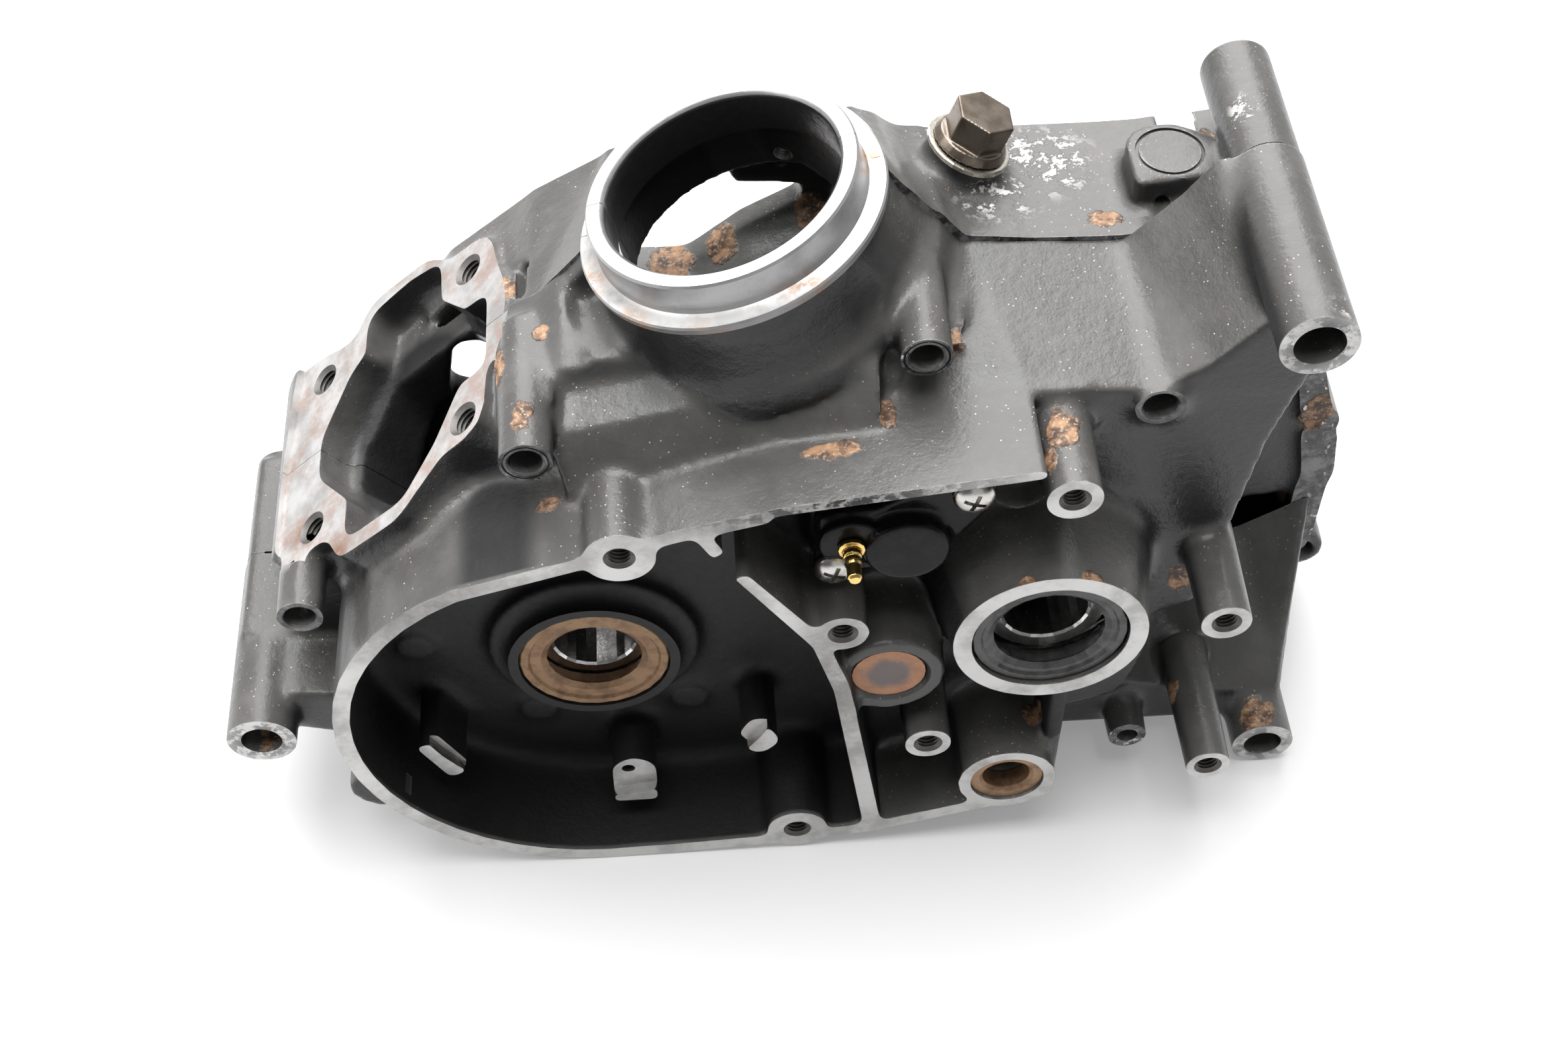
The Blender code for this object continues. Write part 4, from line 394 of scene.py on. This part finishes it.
slopedFlats = [
    (tuple(onFlange(0, seamY)), tuple(flangeNormal), flangeReach, 1),
    (tuple(collarBase - collarAxis * 0.6), tuple(collarAxis), 42.5, 1),
]
# Tapped and plain holes: a point on the face, the way out, radius, mouth radius, pitch (0 for plain) and depth
coverSpots = (
    (117.5, 0, 82), (161.6, 0, 29.7), (166.9, 0, -37.0), (64.0, 0, 34.0), (88.0, 0, -18.0), (10.2, 0, 69.0),
    (53.0, 0, -58.0),
)
leftHoles = [(spot, (0, -1, 0), 3.6, 3.9, 1.1, 12) for spot in coverSpots]
leftHoles += [((141.2, 23.5, 86.8), (0, -1, 0), 4.3, 4.7, 0, 14), ((84.5, 27, 104), (0, -1, 0), 4.0, 4.5, 0, 14)]
leftHoles += [((-10.5, 16.5, 86), (0, -1, 0), 4.1, 4.6, 0, 14), ((-72.5, 17, 30.4), (0, -1, 0), 4.0, 4.4, 0, 14)]
rightHoles = [((54.8, 92.2, 110.6), (-0.29, -0.95, -0.12), 2.7, 3.1, 1.0, 4)]
# The flange's stud holes, which also get painted shade inside
studBores = []
for holes, across in ((leftHoles, 40), (rightHoles, 92)):
    for along in (-26.5, 31.5):
        spot = tuple(onFlange(along, across))
        holes.append((spot, tuple(flangeNormal), 4.3, 4.7, 1.25, 14))
        studBores.append((spot, (9, 9, 9)))
# Round grooves: centre, axis, inner and outer radius, depth and height above the centre
tubeGrooves = [
    ((169.5, seamY, 122), (0, 1, 0), 8.6, 10.6, 0.35, 0.35),
    ((190, seamY, -58.5), (0, 1, 0), 8.6, 10.0, 0.35, 0.35),
    ((-89.5, seamY, -13), (0, 1, 0), 8.6, 10.0, 0.35, 0.35),
]
leftGrooves = tubeGrooves + [
    ((-10.5, 16.5, 86), (0, -1, 0), 5.2, 5.7, 0.6, 1.0), ((84.5, 27, 104), (0, -1, 0), 5.1, 5.6, 0.6, 1.0),
]
rightGrooves = tubeGrooves + [((150.9, 85, 112.9), (0, 0, 1), 7.7, 8.7, 0.8, 2.0)]
# The cylinder flange's outline, along its slope and Y, a little outside its own edge
flangeOutline = (
    (46.0, 104.0), (48.5, 84.0), (48.5, 55.0), (42.0, 50.5), (42.0, 31.0), (25.0, 30.8), (8.5, 20.0), (-15.5, 20.3),
    (-20.0, 29.3), (-40.0, 31.0), (-40.0, 62.0), (-36.0, 103.0), (-16.0, 101.3), (-9.0, 110.0), (16.0, 110.0),
    (25.5, 103.5),
)


def applied(body):
    graph = bpy.context.evaluated_depsgraph_get()
    graph.update()
    return bpy.data.meshes.new_from_object(body.evaluated_get(graph))


def flatCutter(centre, normal, reach, material):
    """A solid that lies on the outer side of a flat: a short cylinder, or the cylinder flange's outline."""
    build = bmesh.new()
    tall = 0.006 if reach < 39 or reach == flangeReach else 0.03 if reach < 100 else 0.1
    if reach == flangeReach:
        foot = [build.verts.new(at(*onFlange(along, y))) for along, y in flangeOutline]
        closed(build, (foot, [build.verts.new(vert.co + flangeNormal * tall) for vert in foot]))
    else:
        turn = Vector(normal).to_track_quat("Z", "Y").to_matrix().to_4x4()
        place = Matrix.Translation(at(*centre)) @ turn @ Matrix.Translation((0, 0, tall / 2))
        size = reach / 1000
        bmesh.ops.create_cone(build, cap_ends=True, segments=48, radius1=size, radius2=size, depth=tall, matrix=place)
    for face in build.faces:
        face.material_index = material
    return build


def turned(centre, axis, profile, sides=32, material=1, hollow=False):
    """A closed solid of revolution from (radius, height) points in millimetres; a hollow one is a ring."""
    build = bmesh.new()
    turn = Vector(axis).to_track_quat("Z", "Y").to_matrix()
    rings = []
    for radius, height in profile:
        angles = [step / sides * math.tau for step in range(sides)]
        spots = [turn @ Vector((radius * math.cos(a), radius * math.sin(a), height)) for a in angles]
        rings.append([build.verts.new(at(*(Vector(centre) + spot))) for spot in spots])
    if hollow:
        rings.append(rings[0])
    else:
        build.faces.new(rings[0])
        build.faces.new(rings[-1])
    for low, high in zip(rings, rings[1:]):
        for step in range(sides):
            build.faces.new((low[step - 1], low[step], high[step], high[step - 1]))
    bmesh.ops.recalc_face_normals(build, faces=build.faces)
    for face in build.faces:
        face.material_index = material
    return build


def holeCutter(centre, axis, radius, mouth, pitch, depth):
    """A countersunk hole, with one ridge for each turn of its thread."""
    profile = [(mouth, 1.0), (mouth, 0.0), (radius, radius - mouth)]
    if pitch:
        for turnNumber in range(int(depth / pitch)):
            height = radius - mouth - pitch * turnNumber
            profile += [(radius - 0.72 * pitch, height - pitch * 0.5), (radius, height - pitch)]
    profile.append((radius, -depth - 2.0))
    return turned(centre, axis, profile, 32, 1 if pitch else 0)


def grooveCutter(centre, axis, inner, outer, depth, height):
    """A ring that cuts a round groove, from its depth below the centre to its height above it."""
    profile = ((inner, -depth), (outer, -depth), (outer, height), (inner, height))
    return turned(centre, axis, profile, 64, 0, True)


def plate(points, near, far):
    """A solid with an outline of (x, z) points, between two places along Y."""
    build = bmesh.new()
    ends = [[build.verts.new(at(x, y, z)) for x, z in points] for y in (near, far)]
    return closed(build, ends)


def closed(build, ends):
    """Joins two outlines with as many points to a closed solid."""
    for end in ends:
        build.faces.new(end)
    for step in range(len(ends[0])):
        build.faces.new((ends[0][step], ends[0][step - 1], ends[1][step - 1], ends[1][step]))
    bmesh.ops.triangulate(build, faces=build.faces)
    bmesh.ops.recalc_face_normals(build, faces=build.faces)
    return build


def blockBetween(left, right):
    """A solid between two outlines of (Y, z) points, each standing at its own x."""
    build = bmesh.new()
    ends = [[build.verts.new(at(x, y, z)) for y, z in outline] for x, outline in (left, right)]
    return closed(build, ends)


def solidOf(build, mats=()):
    mesh = bpy.data.meshes.new("cutter")
    build.to_mesh(mesh)
    build.free()
    for mat in mats:
        mesh.materials.append(mat)
    solid = bpy.data.objects.new("cutter", mesh)
    bpy.context.scene.collection.objects.link(solid)
    return solid


def combine(body, others, operation="DIFFERENCE"):
    """Applies one Boolean after the other to a body and removes the solids that they use."""
    for other in others:
        step = body.modifiers.new("combine", "BOOLEAN")
        step.operation = operation
        step.solver = "MANIFOLD"
        step.object = other
    bpy.context.view_layer.update()
    body.data = applied(body)
    body.modifiers.clear()
    for other in others:
        bpy.data.objects.remove(other)
    return body


# The collar's neck that stays, as radius and height; it flares into the deck below
neckProfile = (
    (56.0, -40), (56.0, -27.2), (46.0, -26.6), (40.0, -25.2), (37.4, -23.0), (36.0, -19.0), (35.2, -12.0),
    (34.6, 4.0),
)


def freePad(body):
    """Clears the raised pad's top and slims the collar's neck above it, as on the real casting."""
    left = (-3.4, ((12, 84.6), (26.5, 84.2), (38.5, 87.0), (40.5, 100.0), (40.5, 135.0), (12, 135.0)))
    right = (75, ((14, 102.0), (29.6, 101.6), (38.5, 104.0), (40.5, 112.0), (40.5, 135.0), (14, 135.0)))
    over = combine(solidOf(blockBetween(left, right)), [solidOf(turned(collarBase, collarAxis, neckProfile, 96))])
    ring = solidOf(turned(collarBase, collarAxis, ((46.0, -14.0), (46.0, -0.3)), 96))
    combine(ring, [solidOf(turned(collarBase, collarAxis, ((37.5, -15.0), (35.4, -9.0), (34.6, 4.0)), 96))])
    front = ((-20, 60), (62, 60), (62, 160), (-20, 160))
    combine(ring, [solidOf(blockBetween((-30, front), (68, front)))], "INTERSECT")
    strip = ((-3, 84.0), (24.8, 84.0), (24.8, 100.0), (-3, 100.0))
    boss = solidOf(turned(coverSpots[0], (0, -1, 0), ((7.7, -40), (7.0, 6))))
    rimEnd = combine(solidOf(blockBetween((110.3, strip), (130, strip))), [boss])
    low = (46, ((-3, 74.0), (16, 74.0), (16, 81.4), (-3, 81.4)))
    high = (111, ((-3, 83.0), (16, 83.0), (16, 90.4), (-3, 90.4)))
    combine(body, [over, ring, rimEnd, solidOf(blockBetween(low, high))])


def freeToe(body):
    """Sets the wall below the cylinder flange back to the flange's own edge, above the front mounting tube."""
    combine(body, [solidOf(plate(((-120, -3.2), (-80.8, -3.2), (-80.8, 25), (-120, 34)), 28, 112))])


def addWalls(body):
    """Closes two places of the right casting that are solid on the real one."""
    rear = ((160, 68), (190, 68), (196, 46), (202.5, 22), (204, -2), (160, -8))
    upper = ((-41, 44), (-24, 44), (-24, 62), (-30, 64), (-41, 52))
    combine(body, [solidOf(plate(rear, 68, 71)), solidOf(plate(upper, 99, 106))], "UNION")


def inReach(points, centre, normal, reach):
    offset = points - np.array(at(*centre))
    along = offset @ np.array(normal)
    across = np.linalg.norm(offset - along[:, None] * np.array(normal), axis=1)
    return along, across < reach / 1000


def coordinates(mesh):
    points = np.zeros(len(mesh.vertices) * 3, np.float32)
    mesh.vertices.foreach_get("co", points)
    return points.reshape(-1, 3).astype(float)


def sumTo(count, index, values):
    return np.stack([np.bincount(index, values[:, k], count) for k in range(values.shape[1])], axis=1)


def filletCorners(mesh):
    """Rounds a remeshed casting: inner corners grow wide fillets, outer edges keep a small radius.

    A few plain rounds of smoothing come first. Then each vertex moves by a share that grows with how hollow
    the surface is there, which is measured anew every few rounds.
    """
    points = coordinates(mesh)
    count = len(points)
    ends = np.zeros(len(mesh.edges) * 2, np.int32)
    mesh.edges.foreach_get("vertices", ends)
    ends = np.concatenate([ends.reshape(-1, 2), ends.reshape(-1, 2)[:, ::-1]])
    degree = np.bincount(ends[:, 0], None, count)[:, None]
    quads = np.zeros(len(mesh.polygons) * 4, np.int32)
    mesh.polygons.foreach_get("vertices", quads)
    quads = quads.reshape(-1, 4)
    share = None
    crisp = np.ones((count, 1))
    for low, high in crispPlaces:
        inside = np.all((points > np.array(at(*low))) & (points < np.array(at(*high))), axis=1)
        crisp[inside] = 0.12
    for step in range(plainRounds + filletRounds):
        shift = sumTo(count, ends[:, 0], points[ends[:, 1]]) / degree - points
        if step >= plainRounds and (step - plainRounds) % 7 == 0:
            across = np.cross(points[quads[:, 2]] - points[quads[:, 0]], points[quads[:, 3]] - points[quads[:, 1]])
            normals = sum(sumTo(count, quads[:, k], across) for k in range(4))
            normals /= np.linalg.norm(normals, axis=1)[:, None] + 1e-20
            hollow = np.sum(shift * normals, axis=1)[:, None]
            for _ in range(4):
                hollow = 0.4 * hollow + 0.6 * sumTo(count, ends[:, 0], hollow[ends[:, 1]]) / degree
            share = (0.05 + 0.60 * np.clip(hollow / 0.000012, 0.0, 1.0)) * crisp
        points += shift * (0.5 if share is None else share)
    mesh.vertices.foreach_set("co", points.astype(np.float32).ravel())


def castBody(name, node, flats, holes, grooves):
    """A casting with filleted corners: its solid is remeshed and smoothed, then its flats are cut sharp."""
    mesh = frame["nodes"][node].data.copy()
    weld = bmesh.new()
    weld.from_mesh(mesh)
    bmesh.ops.remove_doubles(weld, verts=weld.verts, dist=0.000002)
    weld.to_mesh(mesh)
    weld.free()
    points = coordinates(mesh)
    for centre, normal, reach, _ in flats:
        along, inside = inReach(points, centre, normal, reach)
        points[inside & (np.abs(along) < 0.0001)] += np.array(normal) * flatStock
    mesh.vertices.foreach_set("co", points.astype(np.float32).ravel())
    body = bpy.data.objects.new(name, mesh)
    bpy.context.scene.collection.objects.link(body)
    if node == "left_case":
        freePad(body)
    else:
        addWalls(body)
    freeToe(body)
    remesh = body.modifiers.new("remesh", "REMESH")
    remesh.mode = "VOXEL"
    remesh.voxel_size = voxelSize
    body.data = applied(body)
    body.modifiers.clear()
    filletCorners(body.data)
    count = len(body.data.polygons) * 2
    thin = body.modifiers.new("thin", "DECIMATE")
    thin.ratio = min(1.0, faceBudget / count)
    body.data = applied(body)
    body.modifiers.clear()
    cutFlats(body, flats, holes, grooves)
    print("  ", name, "from", count, "to", len(body.data.polygons), "faces")
    return body


def cutFlats(body, flats, holes, grooves):
    """Cuts each flat at its plane, then the holes; the cut faces bring their own material."""
    body.data.materials.clear()
    for mat in (paintMat, bareMat):
        body.data.materials.append(mat)
    cutters = [flatCutter(*flat) for flat in flats] + [holeCutter(*hole) for hole in holes]
    cutters += [grooveCutter(*groove) for groove in grooves]
    combine(body, [solidOf(cutter, (paintMat, bareMat)) for cutter in cutters])
    markEdges(body.data)


def markEdges(mesh):
    """Stores on each vertex how sharply the surface turns outward there, for the worn edges."""
    build = bmesh.new()
    build.from_mesh(mesh)
    wear = np.zeros(len(build.verts), np.float32)
    for edge in build.edges:
        if len(edge.link_faces) == 2:
            bend = edge.calc_face_angle_signed(0.0)
            for vert in edge.verts:
                wear[vert.index] = max(wear[vert.index], bend)
    build.free()
    layer = mesh.attributes.new("edge", "FLOAT", "POINT")
    layer.data.foreach_set("value", np.clip(wear, 0.0, 1.0))
    mesh.shade_smooth()
    mesh.set_sharp_from_angle(angle=math.radians(38))


# Machined collar, as radius and height in millimetres with the material of the wall up to that point
collarProfile = (
    (28.9, -1.2, 0), (37.0, -1.2, 0), (38.0, -0.7, 1), (38.2, 0.9, 1), (37.8, 1.4, 1), (35.2, 1.5, 1), (34.0, 1.9, 1),
    (33.6, 3.0, 1), (33.6, 9.7, 1), (33.1, 10.3, 1), (30.0, 10.3, 1), (29.2, 9.6, 1), (29.0, 8.8, 0),
)


def collarHalf(name, side):
    """The turned collar on one side of the seam, closed where the seam cuts it."""
    build = bmesh.new()
    turns = 160
    across = Vector((collarAxis.z, 0, -collarAxis.x))
    rings = []
    for step in range(turns):
        angle = step / turns * math.tau
        out = across * math.cos(angle) + Vector((0, 1, 0)) * math.sin(angle)
        spots = [collarBase + out * radius + collarAxis * height for radius, height, _ in collarProfile]
        rings.append([build.verts.new(at(*spot)) for spot in spots])
    for step in range(turns):
        for row in range(len(collarProfile)):
            ring, after, above = rings[step], rings[(step + 1) % turns], (row + 1) % len(collarProfile)
            face = build.faces.new((ring[row], after[row], after[above], ring[above]))
            face.material_index = collarProfile[above][2]
            face.smooth = True
    cut = bmesh.ops.bisect_plane(
        build, geom=build.verts[:] + build.edges[:] + build.faces[:], plane_co=at(0, 66 + side * 0.1, 0),
        plane_no=(0, side, 0), clear_inner=True,
    )
    rim = [item for item in cut["geom_cut"] if isinstance(item, bmesh.types.BMEdge)]
    for face in bmesh.ops.holes_fill(build, edges=rim, sides=0)["faces"]:
        face.material_index = 1
    bmesh.ops.recalc_face_normals(build, faces=build.faces)
    mesh = bpy.data.meshes.new(name)
    build.to_mesh(mesh)
    build.free()
    piece = bpy.data.objects.new(name, mesh)
    bpy.context.scene.collection.objects.link(piece)
    markEdges(mesh)
    return piece


def dress(body, owner, *mats):
    for mat in mats[len(body.data.materials):]:
        body.data.materials.append(mat)
    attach(body, owner)


# Small pieces whose edges are rounded, with the grain of their mesh in millimetres and the rounds of smoothing
softEdges = {
    "neutral_switch_body": (0.34, 60), "top_plug_bolt": (0.28, 6), "neutral_switch_terminal": (0.14, 4),
}


def softened(node, voxel, rounds):
    """A small piece from its CAD shape, with its edges rounded."""
    build = bmesh.new()
    build.from_mesh(frame["nodes"][node].data)
    bmesh.ops.remove_doubles(build, verts=build.verts, dist=0.000004)
    piece = solidOf(build)
    piece.name = node + "_finished"
    remesh = piece.modifiers.new("remesh", "REMESH")
    remesh.mode = "VOXEL"
    remesh.voxel_size = voxel / 1000
    smooth = piece.modifiers.new("smooth", "SMOOTH")
    smooth.factor = 0.5
    smooth.iterations = rounds
    thin = piece.modifiers.new("thin", "DECIMATE")
    thin.ratio = 0.35
    piece.data = applied(piece)
    piece.modifiers.clear()
    piece.data.shade_smooth()
    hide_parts(node)
    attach(piece, "case")
    return piece


def panScrew(node, x, z):
    """A pan-head screw with a cross recess, on the neutral switch's plate."""
    radius = 5.2
    foot = 11.0
    profile = [(2.6, -8.0), (2.6, 0.0), (radius - 0.3, 0.0), (radius, 0.35), (radius, 0.9)]
    for step in range(1, 9):
        bend = step / 8 * math.pi / 2
        profile.append((0.6 + (radius - 0.6) * math.cos(bend), 0.9 + 2.7 * math.sin(bend)))
    head = solidOf(turned((x, foot, z), (0, -1, 0), profile, 64, 0))
    for lean in (0.35, 0.35 + math.pi / 2):
        slot = bmesh.new()
        place = Matrix.Translation(at(x, foot - 3.3, z)) @ Matrix.Rotation(lean, 4, "Y")
        place = place @ Matrix.Diagonal((0.0058, 0.0032, 0.0011, 1))
        bmesh.ops.create_cube(slot, size=1.0, matrix=place)
        combine(head, [solidOf(slot)])
    head.name = node + "_finished"
    bevel = head.modifiers.new("bevel", "BEVEL")
    bevel.width = 0.00012
    bevel.limit_method = "ANGLE"
    head.data = applied(head)
    head.modifiers.clear()
    head.data.shade_smooth()
    head.data.set_sharp_from_angle(angle=math.radians(35))
    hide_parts(node)
    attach(head, "case")
    return head


paintMat = blackPaint()
bareMat = bareAluminium()
collarMat = turnedAluminium()

# Fineness of the castings' meshes, and their rounds of smoothing
faceBudget = 240000
voxelSize = 0.0010
plainRounds = 3
filletRounds = 28
leftBody = castBody("cast_left", "left_case", leftFlats + slopedFlats, leftHoles, leftGrooves)
dress(leftBody, "case", paintMat, bareMat)
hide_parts("left_case")
print("stage: left casting")
rightBody = castBody("cast_right", "right_case", rightFlats + slopedFlats, rightHoles, rightGrooves)
dress(rightBody, "case", paintMat, bareMat)
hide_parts("right_case")
print("stage: right casting")
for collarName, collarSide in (("collar_left", -1), ("collar_right", 1)):
    dress(collarHalf(collarName, collarSide), "case", paintMat, collarMat)
print("stage: collar")

nodeMats = {
    "race": plainMetal("bearing_steel", (0.62, 0.61, 0.60), (0.30, 0.26, 0.22), 0.24),
    "ball_cage": plainMetal("ball_steel", (0.70, 0.70, 0.70), (0.35, 0.30, 0.25), 0.16),
    "crank_seal": rubberLike("seal_tan", (0.30, 0.18, 0.095), (0.19, 0.105, 0.055), 0.48, 0.3),
    "output_shaft_seal": rubberLike("seal_dark", (0.065, 0.065, 0.066), (0.030, 0.029, 0.028), 0.36, 0.3),
    "shift_shaft_seal": rubberLike("seal_bronze", (0.34, 0.21, 0.12), (0.20, 0.12, 0.07), 0.45, 0.5),
    "mainshaft_plug": copperPlug(),
    "bush": plainMetal("bush_bronze", (0.45, 0.30, 0.16), (0.25, 0.17, 0.10), 0.38),
    "dowel": plainMetal("dowel_steel", (0.55, 0.55, 0.56), (0.30, 0.28, 0.26), 0.28),
    "case_screw": plainMetal("screw_zinc", (0.55, 0.53, 0.48), (0.30, 0.25, 0.18), 0.34),
    "neutral_switch_screw": plainMetal("screw_bright", (0.50, 0.49, 0.47), (0.25, 0.20, 0.16), 0.25),
    "neutral_switch_body": rubberLike("switch_plastic", (0.005,) * 3, (0.010,) * 3, 0.20, 0.0, 0.12),
    "neutral_switch_terminal": plainMetal("terminal_brass", (0.80, 0.56, 0.20), (0.55, 0.34, 0.10), 0.20),
    "top_plug_bolt": plainMetal("bolt_bronze", (0.20, 0.17, 0.14), (0.10, 0.075, 0.055), 0.36, 160.0, 0.8),
    "top_plug_washer": plainMetal("washer_zinc", (0.66, 0.63, 0.56), (0.42, 0.36, 0.26), 0.28),
}
panScrews = {"neutral_switch_screw_1": (95.6, 73.0), "neutral_switch_screw_2": (62.3, 48.0)}
for nodeName, obj in frame["nodes"].items():
    for part, mat in nodeMats.items():
        if part in nodeName and not obj.hide_render:
            if nodeName in softEdges:
                obj = softened(nodeName, *softEdges[nodeName])
            if nodeName in panScrews:
                obj = panScrew(nodeName, *panScrews[nodeName])
            obj.data.materials.clear()
            obj.data.materials.append(mat)
print("stage: small parts")


# Where every light points: the middle of the part, in metres
lightAim = Vector((0, 0, 0.08))


def softbox(name, place, power, size):
    light = bpy.data.lights.new(name, "AREA")
    light.energy = power
    light.shape = "RECTANGLE"
    light.size = size
    light.size_y = size
    obj = bpy.data.objects.new(name, light)
    obj.location = place
    obj.rotation_euler = (lightAim - Vector(place)).to_track_quat("-Z", "Y").to_euler()
    bpy.context.scene.collection.objects.link(obj)


def studio():
    softbox("softbox_back", (0.0, 0.80, 1.05), 24, 1.2)
    softbox("softbox_top", (-0.1, 0.0, 1.35), 20, 0.9)
    softbox("softbox_left", (-1.1, 0.0, 0.8), 9, 0.9)
    softbox("softbox_front", (0.3, -1.2, 0.5), 1.5, 1.0)
    world = bpy.data.worlds.new("studio")
    bpy.context.scene.world = world
    world.use_nodes = True
    tree = world.node_tree
    back = tree.nodes["Background"]
    path = tree.nodes.new("ShaderNodeLightPath")
    seen = Wire(tree, path.outputs["Is Camera Ray"]).either(Wire(tree, path.outputs["Is Transmission Ray"]))
    way = tree.nodes.new("ShaderNodeTexCoord")
    split = tree.nodes.new("ShaderNodeSeparateXYZ")
    tree.links.new(way.outputs["Generated"], split.inputs[0])
    depth = Wire(tree, split.outputs["Y"]).ramp(-0.8, 0.7)
    plug(tree, back.inputs["Strength"], (depth * 0.50 + 0.18).either(seen))
    back.inputs["Color"].default_value = (1, 1, 1, 1)
    bpy.ops.mesh.primitive_plane_add(size=8.0, location=(0, 0, -0.0002))
    floor = bpy.context.object
    floor.name = "floor"
    p = Paint("white_floor")
    path = p.tree.nodes.new("ShaderNodeLightPath")
    seen = Wire(p.tree, path.outputs["Is Camera Ray"]).either(Wire(p.tree, path.outputs["Is Glossy Ray"]))
    seen = seen.either(Wire(p.tree, path.outputs["Is Transmission Ray"]))
    plug(p.tree, p.shader.inputs["Emission Strength"], seen * 0.23)
    p.shader.inputs["Emission Color"].default_value = (1, 1, 1, 1)
    p.finish((0.62, 0.62, 0.62), 0.9, 0.0, Specular_IOR_Level=0.0)
    floor.data.materials.append(p.material)


studio()

camera = bpy.data.cameras.new("camera")
camera.lens = 50.0
camera.sensor_width = 36.0
camera.clip_start = 0.01
cameraObject = bpy.data.objects.new("camera", camera)
cameraObject.location = at(27.68, -320, 473.46)
cameraObject.rotation_euler = (math.radians(39.23), 0, math.radians(-3.85))
bpy.context.scene.collection.objects.link(cameraObject)
bpy.context.scene.camera = cameraObject
bpy.context.scene.view_settings.view_transform = "Standard"
print("stage: studio and camera")
